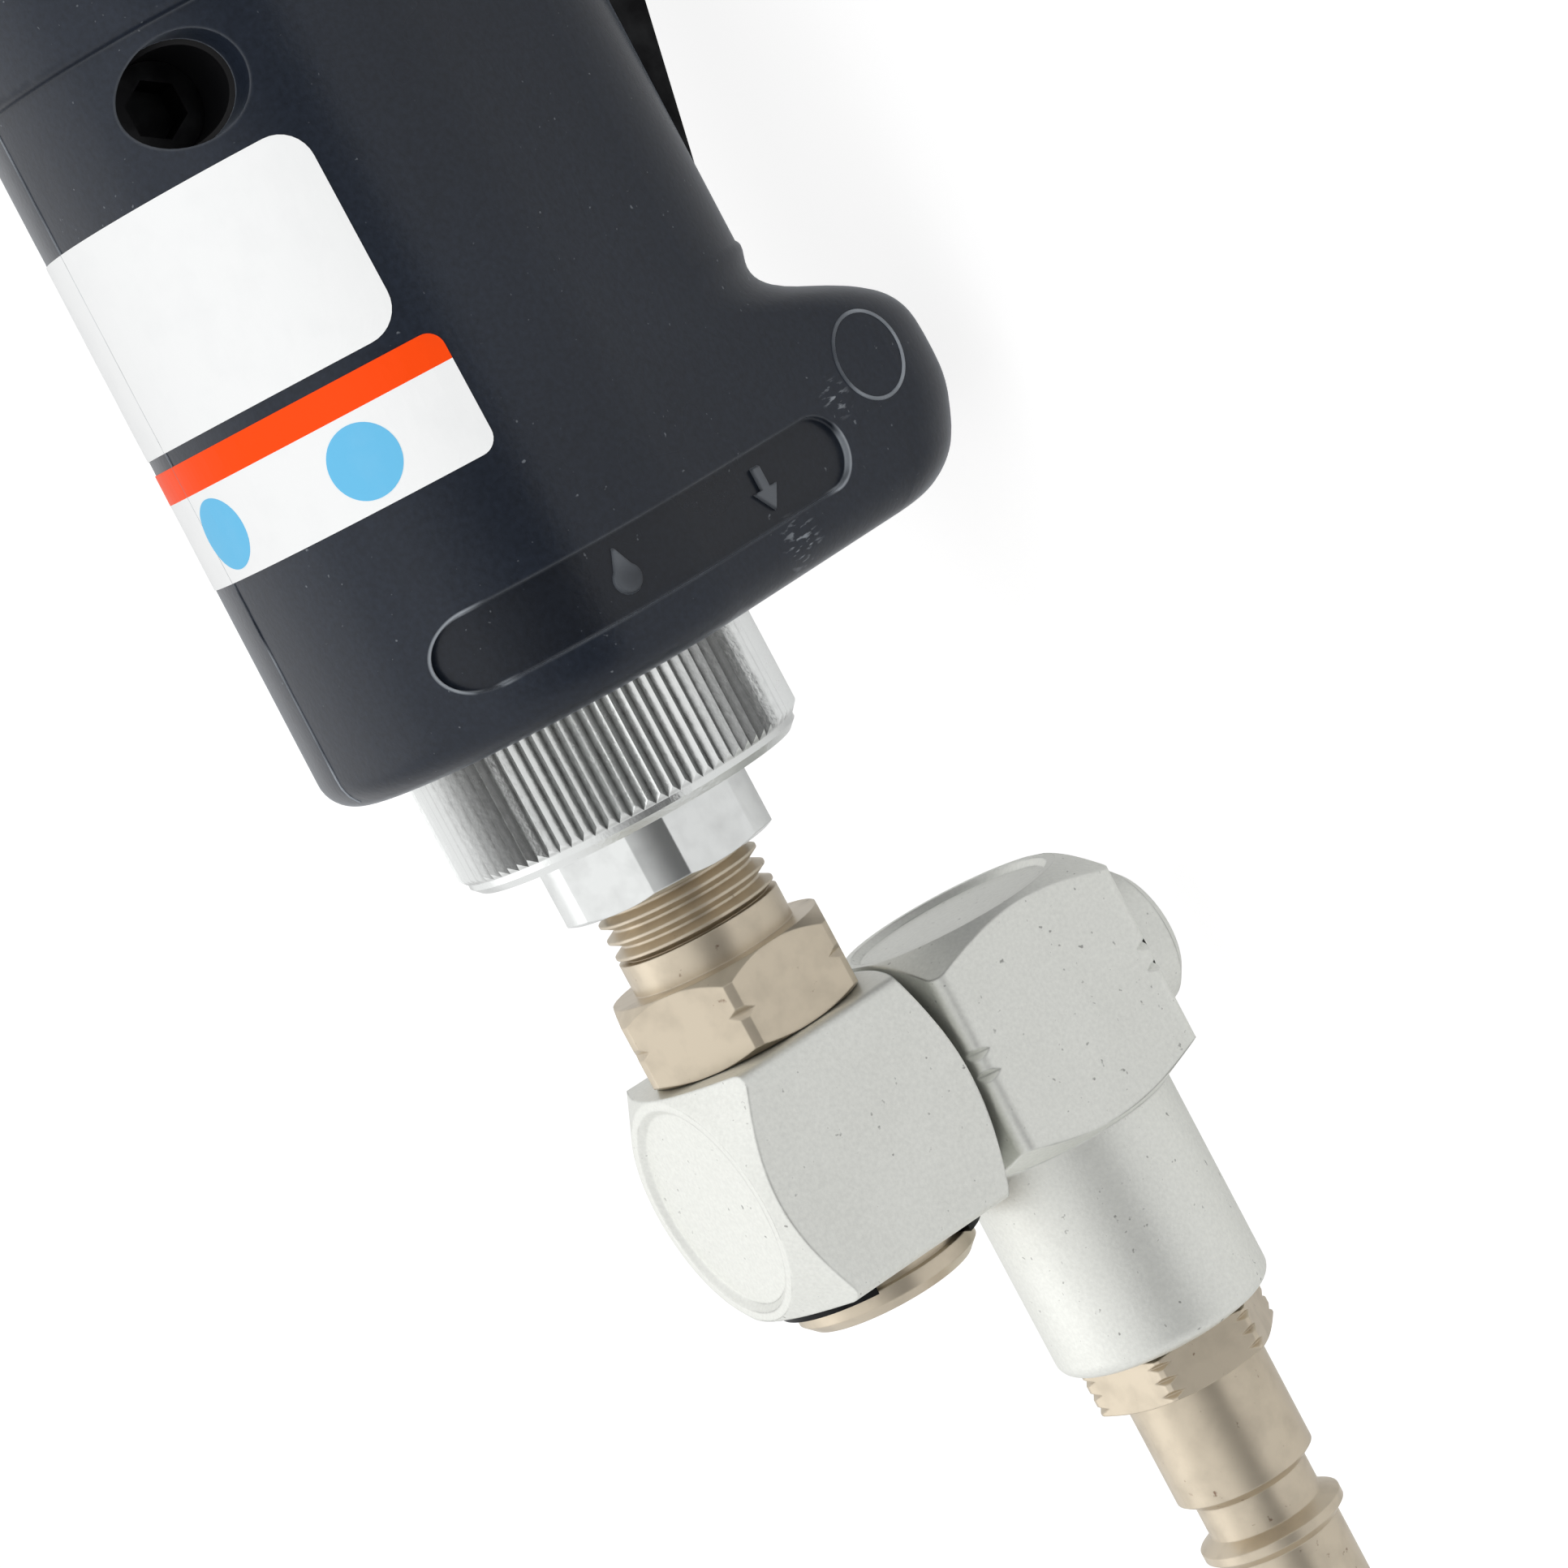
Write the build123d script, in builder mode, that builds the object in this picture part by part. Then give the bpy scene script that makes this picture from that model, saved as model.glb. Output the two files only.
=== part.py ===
from build123d import *
import math
import os

# Pneumatic jigsaw: an in-line air saw with a lever throttle and a two-axis swivel air inlet.
# The tool's axis is the X axis: +X points forward to the blade, -X to the air inlet.
# +Z points to the back of the grip; the lever and the grip's hook are on the -Z side.
# The origin is where the tool's axis meets the sole of the shoe. Sizes are in millimetres.

# Clearances
slip = 0.05             # radial clearance of fits, fixed and running
slide_gap = 0.1         # between flat faces that slide on each other
seat_gap = 0.05         # between a closed valve or a stop and its seat

# Layout along the tool
shoe_reach = 50.0       # sole to nose
nose_length = 26.0      # nose outside the grip
grip_length = 118.0

# Grip
grip_back_radius = 19.8     # back of the grip at its rear end
grip_waist_radius = 18.83   # back of the grip at the step
grip_lever_radius = 15.2    # lever side of the grip
grip_offset = 12.4          # tool's axis to the centre of the lever side
hook_rise = 15.4            # how far the hook stands out past the lever side's centre
hook_narrowing = 4.0        # how much rounder the hook is than the lever side
hook_base_share = 0.63      # share of the hook's rise at the rear face
hook_tip = 8.6              # rear face to the hook's tip
hook_end = 20.5             # rear face to where the hook has run out
hook_fullness = 2.1         # above 1, the hook's front side is steeper than its tip
hook_fade = 3.0             # length over which the hook's run-out is smoothed
grip_rear_round = 2.8
grip_front_round = 2.0
step_station = 55.5         # rear face to the raised front half of the grip
step_height = 1.0
step_round = 0.9
rear_wall = 8.0
valve_cavity_radius = 16.3
motor_cavity_radius = 17.0
side_hole_station = 50.5
side_hole_height = 11.2
side_hole_radius = 3.9
mark_recess_length = 37.4
mark_recess_width = 5.7
mark_recess_depth = 0.6
mark_recess_station = 7.1
mark_recess_middle = -4.0   # height of the recess's middle
exhaust_hole_count = 6
exhaust_hole_radius = 2.2
exhaust_circle = 11.2

# Exhaust ring
ring_radius = 14.25
ring_root_radius = 13.75
ring_teeth = 87
ring_knurl = 8.8            # knurled length outside the grip
ring_rim = 1.1              # plain rim behind the knurl
ring_rim_radius = 13.6
ring_recess_depth = 2.0
ring_recess_gap = 0.6
ring_chamber_inner = 9.5
ring_chamber_outer = 12.5
ring_back_wall = 2.6
ring_chamfer = 0.6
ring_outlets = 7
ring_outlet_radius = 1.4
ring_outlet_span = 180.0
washer_thickness = 0.6
washer_inner = 12.7
washer_outer = 14.0

# Inlet bushing and air thread
inlet_across_flats = 17.0
inlet_corner_radius = 9.05
inlet_hex_turn = -26.0      # turns of the hexagons about their own axes
plug_hex_turn = -43.0
bushing_hex_length = 5.3
bushing_bevel = 0.3
bushing_radius = 8.0
bushing_depth = 14.0        # threaded length in the valve body
bushing_bore = 5.0
air_thread_radius = 6.58
air_thread_root = 5.75
air_thread_pitch = 1.337
air_thread_depth = 10.0
screen_thickness = 0.8
screen_hole_radius = 0.6
screen_rings = 3
inlet_o_ring_wire = 0.75

# Swivel
stem_thread_shown = 4.4
stem_neck_length = 2.6
stem_neck_radius = 6.6
stem_hex_length = 6.7
stem_corner_radius = 9.6
stem_front_bevel = 1.0
stem_rear_bevel = 0.6
stem_notch_depth = 0.35
stem_radius = 7.5
stem_tail = 3.0
stem_bore = 4.0
block_size = 18.8           # along the tool
elbow_depth = 20.6
elbow_back = 10.2           # stem axis to the elbow's closed end
elbow_front = 9.5           # stem axis to the elbow's face at the socket
elbow_face_radius = 9.3
elbow_bevel = 3.2           # length of the turned bevel at the elbow's closed end
elbow_front_bevel = 2.4     # the same at the socket
elbow_dish_radius = 8.6
dish_depth = 0.5            # how deep the blocks' round faces are dished
block_round = 1.2           # rounding of the blocks' long edges
swivel_gap = 0.6            # between the two swivel blocks
socket_width = 18.0         # along the spigot
socket_depth = 19.7
socket_face_radius = 9.1
socket_dish_radius = 8.4
socket_bevel = 2.3
socket_tube_radius = 9.1
socket_tube_length = 17.7
socket_tube_round = 1.2
corner_notch_depth = 0.5
corner_notch_width = 0.9
spigot_radius = 6.0
spigot_bore = 3.5
spigot_tail = 4.7
clip_thickness = 1.0
clip_rim = 0.95             # how far a circlip stands out of its shaft
clip_grip = 0.7             # how deep a circlip sits in its shaft
stem_clip_opening = 9.0
spigot_clip_opening = 3.5
o_ring_wire = 0.8
cross_hole_radius = 2.5

# Air plug
plug_across_flats = 14.0
plug_corner_radius = 7.95
plug_bevel = 0.3
plug_hex_length = 4.0
plug_shaft_radius = 5.85
plug_shaft_length = 10.0
plug_neck_radius = 4.75
plug_neck_length = 2.9
plug_bead_radius = 6.0
plug_bead_length = 2.2
plug_tip_radius = 5.1
plug_tip_length = 9.5
plug_bore = 3.7
plug_chamfer = 0.8
plug_notch_width = 0.6
plug_notch_depth = 0.4

# Throttle lever
lever_station = 26.0        # rear face to the lever's pivot
lever_pin_depth = 21.5      # tool's axis to the lever's pivot
lever_pin_radius = 2.0
lever_pin_near = 10.0       # middle plane to the pin's blind end
lever_pin_far = 12.4        # middle plane to the pin's open end
lever_angle = 12.5          # slope of the released lever
lever_length = 80.0
lever_tail = 4.5
lever_width = 12.0
lever_leg = 2.0
lever_web = 1.5
lever_drop = 4.0            # pivot to the lever's outer face
lever_ear = 2.8
lever_front_leg = 2.0       # height of the legs at the lever's front end
lever_front_round = 1.2
lever_side_gap = 0.6
slot_rear_depth = 18.0      # tool's axis to the slot's floor behind the step
slot_front_depth = 20.0     # the same in front of the step
slot_end_gap = 1.5

# Throttle valve
valve_station = 38.0
valve_body_end = 57.0       # rear face to the valve body's front face
valve_neck_radius = 9.6
valve_neck_length = 3.0
valve_bore = 5.5
valve_seat_height = -4.0
valve_stem_radius = 2.0
valve_head_radius = 4.4
valve_head_thickness = 2.5
valve_seal_thickness = 0.8
valve_seal_inner = 2.3
valve_flow_radius = 3.4
valve_guide_top = -13.0
valve_flange_radius = 6.4
valve_flange_thickness = 1.0
valve_stem_gap = 0.2
valve_port_radius = 1.8
valve_o_ring_wire = 0.75
supply_height = -7.0
supply_radius = 2.6
cap_radius = 6.5
cap_floor = 8.0
cap_top = 14.5
cap_key_width = 5.0
cap_key_depth = 2.5
spring_wire = 0.35          # radius of the spring's wire
spring_radius = 3.2
spring_turns = 5
groove_width = 8.0
groove_floor = 12.6
groove_angles = (0.0, 180.0, 222.0, 318.0)
side_screw_head = 3.5
side_screw_head_length = 4.0
side_screw_top = 9.0
side_screw_radius = 2.0
side_screw_length = 3.5
screw_key = 4.0
screw_key_depth = 3.0

# Motor
motor_radius = 15.0
rear_head_thickness = 6.0
chest_thickness = 8.0
chest_cavity_radius = 8.0
chest_cavity_depth = 3.2
flutter_radius = 7.6
flutter_thickness = 1.6
flutter_seat_gap = 0.3
chest_port_radius = 1.5
chest_port_circle = 5.0
chest_port_count = 6
chest_pin_radius = 1.5
chest_pin_circle = 13.0
chest_pin_rear = 4.0        # pin length in the valve body
chest_pin_front = 6.0       # pin length in the cylinder
head_o_ring_radius = 3.5
head_o_ring_wire = 0.5
cylinder_bore = 11.0
cylinder_port_clear = 1.0   # nose to the edge of the exhaust ports
cylinder_port_radius = 2.0
cylinder_port_count = 6
piston_length = 16.0
piston_gap = 1.0            # piston to valve chest at the end of the back stroke
stroke = 10.0
piston_ring_width = 2.0
piston_ring_depth = 1.5
rod_radius = 5.0
bumper_length = 4.0
bumper_gap = 0.6

# Nose
nose_plug = 10.0            # nose inside the grip, in front of the cylinder
nose_socket = 8.0           # cylinder length held in the nose
nose_collar = 3.0
nose_collar_radius = 19.5
nose_radius = 17.0
nose_front_radius = 13.0
nose_taper = 9.0
rod_bush_radius = 7.5
rod_bush_gap = 4.0          # cylinder to rod bush
wiper_radius = 8.0
wiper_length = 3.0
wiper_depth = 0.6
nose_o_ring_wire = 0.75
nose_screw_station = 5.0    # grip's front face back to the nose screws
nose_screw_head = 3.6
nose_screw_head_length = 2.0
nose_screw_radius = 2.0
nose_screw_length = 6.0

# Blade and its clamp
clamp_gap = 4.0             # nose to clamp at the end of the back stroke
clamp_radius = 8.0
clamp_length = 16.0
clamp_socket = 8.0
blade_width = 12.0
blade_thickness = 1.0
blade_reach = 55.0          # sole to the blade's tip
blade_tip_rise = 7.0
blade_tip_run = 9.0
tooth_pitch = 1.8
tooth_depth = 0.9
tooth_count = 26
blade_slot_depth = 7.5
clamp_screw_radius = 2.0
clamp_screw_spacing = 7.0

# Guide bracket and shoe
bracket_width = 14.0
bracket_thickness = 3.0
bracket_floor = 14.5        # tool's axis to the bracket's seat on the nose
bracket_rear = 18.0         # nose front back to the bracket's rear end
bracket_screw_setback = 4.0
bracket_screw_radius = 2.5
bracket_screw_head = 4.4
bracket_screw_head_height = 2.8
bracket_screw_depth = 6.0
bracket_washer_radius = 5.0
bracket_washer_thickness = 1.0
depth_forward = 8.0         # how far the shoe slides forward
depth_back = 4.0            # how far it slides back
shoe_thickness = 2.5
shoe_width = 34.0
shoe_bottom = 22.0
shoe_corner = 4.0
shoe_slot = 3.2
shoe_slot_top = 8.5
shoe_pin_setback = 8.0      # sole back to the shoe's pin
shoe_pin_radius = 2.0
shoe_eye_radius = 4.5
shoe_ear_gap = 0.3
shoe_ear_thickness = 2.5
shoe_ear_radius = 4.6
shoe_clip_radius = 3.6
shoe_clip_thickness = 0.8
shoe_pin_tail = 1.2

# Places along the tool, from the sole back
x_sole = 0.0
x_nose_front = x_sole - shoe_reach
x_grip_front = x_nose_front - nose_length
x_grip_rear = x_grip_front - grip_length
x_step = x_grip_rear + step_station
x_recess = x_grip_rear + ring_recess_depth
x_washer = x_recess - washer_thickness
x_ring_front = x_washer - slide_gap
x_knurl_rear = x_grip_rear - ring_knurl
x_ring_rear = x_knurl_rear - ring_rim
x_bushing_hex = x_ring_rear - slide_gap
x_bushing_rear = x_bushing_hex - bushing_hex_length
x_body_rear = x_grip_rear + rear_wall
x_bushing_front = x_body_rear + bushing_depth
x_thread_front = x_bushing_rear + air_thread_depth
x_stem_hex = x_bushing_rear - stem_thread_shown - stem_neck_length
x_block_front = x_stem_hex - stem_hex_length - slide_gap
x_block_rear = x_block_front - block_size
x_swivel = (x_block_front + x_block_rear) / 2
x_stem_rear = x_block_rear - stem_tail
x_tube_rear = x_block_rear - socket_tube_length
x_side_hole = x_grip_rear + side_hole_station
x_lever_pin = x_grip_rear + lever_station
x_valve = x_grip_rear + valve_station
x_body_front = x_grip_rear + valve_body_end
x_chest_rear = x_body_front + rear_head_thickness
x_cylinder_rear = x_chest_rear + chest_thickness
x_cylinder_front = x_grip_front - nose_plug
x_nose_rear = x_cylinder_front - nose_socket
x_piston_rear = x_cylinder_rear + piston_gap
x_piston_front = x_piston_rear + piston_length
x_clamp_rear = x_nose_front + clamp_gap
x_clamp_front = x_clamp_rear + clamp_length
x_rod_front = x_clamp_rear + clamp_socket
x_shoe_pin = x_sole - shoe_pin_setback
x_nose_screw = x_grip_front - nose_screw_station
x_slot_rear = x_lever_pin - lever_tail - slot_end_gap
x_slot_front = x_lever_pin + lever_length + slot_end_gap

# Heights across the tool
z_socket_top = -elbow_front - swivel_gap
z_socket = z_socket_top - socket_width / 2
z_socket_bottom = z_socket_top - socket_width
z_lever_pin = -lever_pin_depth
z_shoe_pin = bracket_floor + slide_gap + bracket_thickness / 2
slot_mouth = grip_offset + hook_rise + grip_lever_radius

os.makedirs("parts", exist_ok=True)


def turned(steps, height=0.0, mode=Mode.ADD):
    """Revolve a closed outline of (x, radius) corners about a line along the tool."""
    with BuildSketch(Plane.XZ) as outline:
        with BuildLine():
            Polyline(*[(x, height + radius) for x, radius in steps], close=True)
        make_face()
    revolve(outline.sketch, axis=Axis((0, 0, height), (1, 0, 0)), mode=mode)


def turned_upright(steps, station, mode=Mode.ADD):
    """Revolve a closed outline of (radius, z) corners about an upright line."""
    with BuildSketch(Plane.XZ) as outline:
        with BuildLine():
            Polyline(*[(station + radius, z) for radius, z in steps], close=True)
        make_face()
    revolve(outline.sketch, axis=Axis((station, 0, 0), (0, 0, 1)), mode=mode)


def band(start, end, outer, inner=0.0):
    """Corners of a plain ring or bar between two places."""
    return [(start, inner), (start, outer), (end, outer), (end, inner)]


def upright_band(bottom, top, outer, inner=0.0):
    """Corners of a plain upright ring or bar between two heights."""
    return [(inner, bottom), (outer, bottom), (outer, top), (inner, top)]


def o_ring(station, radius, wire, height=0.0):
    """A round seal about a line along the tool."""
    with BuildSketch(Plane.XZ) as section:
        with Locations((station, height + radius)):
            Circle(wire)
    revolve(section.sketch, axis=Axis((0, 0, height), (1, 0, 0)))


def upright_o_ring(level, radius, wire, station):
    """A round seal about an upright line."""
    with BuildSketch(Plane.XZ) as section:
        with Locations((station + radius, level)):
            Circle(wire)
    revolve(section.sketch, axis=Axis((station, 0, 0), (0, 0, 1)))


def hexagon(start, length, across_flats, corner_radius, turn, bevels, height=0.0):
    """A hexagon along the tool with its corners turned down and its two ends bevelled."""
    rear_bevel, front_bevel = bevels
    with BuildSketch(Plane.YZ.offset(start)) as outline:
        with Locations((0, height)):
            RegularPolygon(across_flats / 2, 6, major_radius=False, rotation=turn)
    extrude(outline.sketch, amount=length)
    end = start + length
    steps = [
        (start, 0),
        (start, across_flats / 2),
        (start + rear_bevel, corner_radius),
        (end - front_bevel, corner_radius),
        (end, across_flats / 2),
        (end, 0),
    ]
    turned(steps, height, Mode.INTERSECT)


def side_bar(station, height, radius, near, far, mode=Mode.ADD):
    """A round bar across the tool, from one distance off its middle plane to another."""
    with BuildSketch(Plane.XZ.offset(near)) as section:
        with Locations((station, height)):
            Circle(radius)
    extrude(section.sketch, amount=far - near, mode=mode)


def hook_share(station):
    """Share of the hook's rise at a distance from the grip's rear face."""
    if station >= hook_end:
        return 0.0
    if station <= hook_tip:
        return hook_base_share + (1 - hook_base_share) * math.sin(math.pi / 2 * station / hook_tip)
    run = (station - hook_tip) / (hook_end - hook_tip)
    return (1 + math.cos(math.pi * run**hook_fullness)) / 2


def rear_inset(station):
    """How far the grip's section draws in where its rear edge is rounded."""
    if station >= grip_rear_round:
        return 0.0
    return grip_rear_round - math.sqrt(grip_rear_round**2 - (grip_rear_round - station) ** 2)


def grip_section(station, swell=0.0):
    """Egg-shaped section of the grip: back arc, two flanks and the arc on the lever side."""
    share = hook_share(station)
    growth = swell - rear_inset(station)
    offset = grip_offset + hook_rise * share
    waist_share = min(station / step_station, 1.0)
    back = grip_back_radius + (grip_waist_radius - grip_back_radius) * waist_share + growth
    lever = grip_lever_radius - hook_narrowing * share + growth
    lean = (lever - back) / offset
    spread = math.sqrt(1 - lean**2)
    with BuildSketch(Plane.YZ.offset(x_grip_rear + station)) as section:
        with BuildLine():
            back_arc = ThreePointArc((back * spread, back * lean), (0, back), (-back * spread, back * lean))
            lever_arc = ThreePointArc(
                (-lever * spread, lever * lean - offset),
                (0, -lever - offset),
                (lever * spread, lever * lean - offset),
            )
            Line(back_arc @ 1, lever_arc @ 0)
            Line(lever_arc @ 1, back_arc @ 0)
        make_face()
    return section.sketch


def grip_loft(swell=0.0):
    """The rear half of the grip, up to the step: rounded rear edge, hook and plain barrel."""
    round_steps = 5
    hook_steps = 14
    hook_run_out = hook_end + hook_fade
    quarter = math.pi / 2 / round_steps
    round_stations = [grip_rear_round * (1 - math.cos(quarter * step)) for step in range(round_steps + 1)]
    hook_span = hook_run_out - grip_rear_round
    hook_stations = [grip_rear_round + hook_span * step / hook_steps for step in range(hook_steps + 1)]
    loft([grip_section(station, swell) for station in round_stations])
    loft([grip_section(station, swell) for station in hook_stations])
    loft([grip_section(station, swell) for station in (hook_run_out, step_station)], ruled=True)


# Core of the marking's recess: the grip's rear half, drawn in by the recess's depth
with BuildPart() as grip_core:
    grip_loft(-mark_recess_depth)

# Recess of the marking: a shallow pocket that follows the grip's surface
with BuildPart() as mark_recess:
    with BuildSketch(Plane.XZ):
        with Locations((x_grip_rear + mark_recess_station, mark_recess_middle)):
            SlotOverall(mark_recess_length, mark_recess_width, rotation=90)
    extrude(amount=2 * grip_back_radius)
    add(grip_core.part, mode=Mode.SUBTRACT)

# Grip housing: one moulding, open at the front, with the lever's slot and the hooked base
with BuildPart() as grip_housing:
    extrude(grip_section(step_station, step_height), amount=grip_length - step_station)
    fillet(grip_housing.edges().group_by(Axis.X)[0], step_round)
    fillet(grip_housing.edges().group_by(Axis.X)[-1], grip_front_round)
    grip_loft()
    add(mark_recess.part, mode=Mode.SUBTRACT)
    turned(band(x_body_rear, x_body_front, valve_cavity_radius), mode=Mode.SUBTRACT)
    turned(band(x_body_front, x_grip_front, motor_cavity_radius), mode=Mode.SUBTRACT)
    turned(band(x_grip_rear, x_recess, ring_radius + ring_recess_gap), mode=Mode.SUBTRACT)
    turned(band(x_grip_rear, x_body_rear, bushing_radius + slide_gap), mode=Mode.SUBTRACT)
    with BuildSketch(Plane.YZ.offset(x_recess)):
        with PolarLocations(exhaust_circle, exhaust_hole_count):
            Circle(exhaust_hole_radius)
    extrude(amount=rear_wall, mode=Mode.SUBTRACT)
    with BuildSketch(Plane.XZ):
        with BuildLine():
            Polyline(
                (x_slot_rear, -slot_mouth),
                (x_slot_rear, -slot_rear_depth),
                (x_step, -slot_rear_depth),
                (x_step, -slot_front_depth),
                (x_slot_front, -slot_front_depth),
                (x_slot_front, -slot_mouth),
                close=True,
            )
        make_face()
    extrude(amount=lever_width / 2 + lever_side_gap, both=True, mode=Mode.SUBTRACT)
    turned_upright(upright_band(-slot_front_depth, 0, valve_bore + slide_gap), x_valve, Mode.SUBTRACT)
    pin_hole = lever_pin_radius + slip
    side_bar(x_lever_pin, z_lever_pin, pin_hole, -grip_back_radius, lever_pin_near, Mode.SUBTRACT)
    for side in (-1, 1):
        side_bar(x_side_hole, side_hole_height, side_hole_radius, 0, side * grip_back_radius, Mode.SUBTRACT)
        side_bar(x_nose_screw, 0, nose_screw_head + slip, 0, side * 2 * grip_back_radius, Mode.SUBTRACT)
grip_housing.part.label = "grip_housing"
export_step(grip_housing.part, "parts/grip_housing.step")


def air_thread(start, end):
    """Corners of a run of thread crests and roots."""
    steps = []
    for crest in range(int((end - start) / air_thread_pitch)):
        foot = start + crest * air_thread_pitch
        steps.append((foot, air_thread_root))
        steps.append((foot + 0.35 * air_thread_pitch, air_thread_radius))
        steps.append((foot + 0.5 * air_thread_pitch, air_thread_radius))
        steps.append((foot + 0.85 * air_thread_pitch, air_thread_root))
    return steps


def corner_notches(middle, count, corner, width, depth, height=0.0):
    """V-notches turned into the corners of a bar along the tool."""
    for notch in range(count):
        foot = middle + (notch - (count - 1) / 2) * 2 * width
        steps = [
            (foot - width, corner + depth),
            (foot, corner - depth),
            (foot + width, corner + depth),
        ]
        turned(steps, height, Mode.SUBTRACT)


def coil_place(quarter):
    """Point and direction of the valve spring's coil after some quarter turns."""
    angle = math.pi / 2 * quarter
    point = Vector(
        x_valve + spring_radius * math.cos(angle),
        spring_radius * math.sin(angle),
        spring_bottom + spring_rise * quarter,
    )
    way = Vector(-math.sin(angle), math.cos(angle), spring_rise / (math.pi / 2 * spring_radius))
    return point, way.normalized()


# Exhaust ring: knurled deflector that turns on the inlet bushing
with BuildPart() as exhaust_ring:
    half_tooth = math.pi / ring_teeth
    with BuildSketch(Plane.YZ.offset(x_knurl_rear)):
        with BuildLine():
            tooth_points = []
            for corner in range(2 * ring_teeth):
                reach = ring_radius if corner % 2 else ring_root_radius
                angle = corner * half_tooth
                tooth_points.append((reach * math.cos(angle), reach * math.sin(angle)))
            Polyline(*tooth_points, close=True)
        make_face()
    extrude(amount=x_ring_front - x_knurl_rear)
    knurl_ends = [
        (x_knurl_rear, 0),
        (x_knurl_rear, ring_root_radius),
        (x_knurl_rear + ring_chamfer, ring_radius),
        (x_ring_front - ring_chamfer, ring_radius),
        (x_ring_front, ring_root_radius),
        (x_ring_front, 0),
    ]
    turned(knurl_ends, mode=Mode.INTERSECT)
    rim = [
        (x_ring_rear, 0),
        (x_ring_rear, ring_rim_radius - ring_chamfer),
        (x_ring_rear + ring_chamfer, ring_rim_radius),
        (x_knurl_rear, ring_rim_radius),
        (x_knurl_rear, 0),
    ]
    turned(rim)
    turned(band(x_ring_rear, x_ring_front, bushing_radius + slip), mode=Mode.SUBTRACT)
    chamber_floor = x_ring_rear + ring_back_wall
    turned(band(chamber_floor, x_ring_front, ring_chamber_outer, ring_chamber_inner), mode=Mode.SUBTRACT)
    with BuildSketch(Plane.YZ.offset(x_ring_rear)):
        outlet_circle = (ring_chamber_inner + ring_chamber_outer) / 2
        with PolarLocations(outlet_circle, ring_outlets, 0, ring_outlet_span, endpoint=True):
            Circle(ring_outlet_radius)
    extrude(amount=ring_back_wall, mode=Mode.SUBTRACT)
exhaust_ring.part.label = "exhaust_ring"
export_step(exhaust_ring.part, "parts/exhaust_ring.step")

# Friction washer between the exhaust ring and the grip
with BuildPart() as ring_washer:
    turned(band(x_washer, x_recess, washer_outer, washer_inner))
ring_washer.part.label = "ring_washer"
export_step(ring_washer.part, "parts/ring_washer.step")

# Inlet bushing: hexagon, journal of the exhaust ring and thread into the valve body
with BuildPart() as inlet_bushing:
    hexagon(
        x_bushing_rear, bushing_hex_length, inlet_across_flats, inlet_corner_radius, inlet_hex_turn,
        (bushing_bevel, bushing_bevel),
    )
    turned(band(x_bushing_hex, x_bushing_front, bushing_radius))
    x_screen = x_thread_front + screen_thickness
    turned(band(x_bushing_rear, x_screen, air_thread_radius + slip), mode=Mode.SUBTRACT)
    turned(band(x_screen, x_bushing_front, bushing_bore), mode=Mode.SUBTRACT)
    x_inlet_o_ring = x_bushing_front - 2 * inlet_o_ring_wire - 2 * slip
    inlet_groove = inlet_o_ring_wire + slip
    inlet_groove_floor = bushing_radius - 2 * inlet_groove
    groove_rear = x_inlet_o_ring - inlet_groove
    groove_front = x_inlet_o_ring + inlet_groove
    turned(band(groove_rear, groove_front, bushing_radius, inlet_groove_floor), mode=Mode.SUBTRACT)
inlet_bushing.part.label = "inlet_bushing"
export_step(inlet_bushing.part, "parts/inlet_bushing.step")

with BuildPart() as inlet_o_ring:
    o_ring(x_inlet_o_ring, bushing_radius - inlet_groove, inlet_o_ring_wire)
inlet_o_ring.part.label = "inlet_o_ring"
export_step(inlet_o_ring.part, "parts/inlet_o_ring.step")

# Strainer disc at the bottom of the inlet thread
with BuildPart() as inlet_screen:
    turned(band(x_thread_front, x_screen, air_thread_radius))
    with BuildSketch(Plane.YZ.offset(x_thread_front)):
        Circle(screen_hole_radius)
        for ring in range(1, screen_rings + 1):
            with PolarLocations(ring * bushing_bore / (screen_rings + 0.5), 6 * ring):
                Circle(screen_hole_radius)
    extrude(amount=screen_thickness, mode=Mode.SUBTRACT)
inlet_screen.part.label = "inlet_screen"
export_step(inlet_screen.part, "parts/inlet_screen.step")

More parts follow.
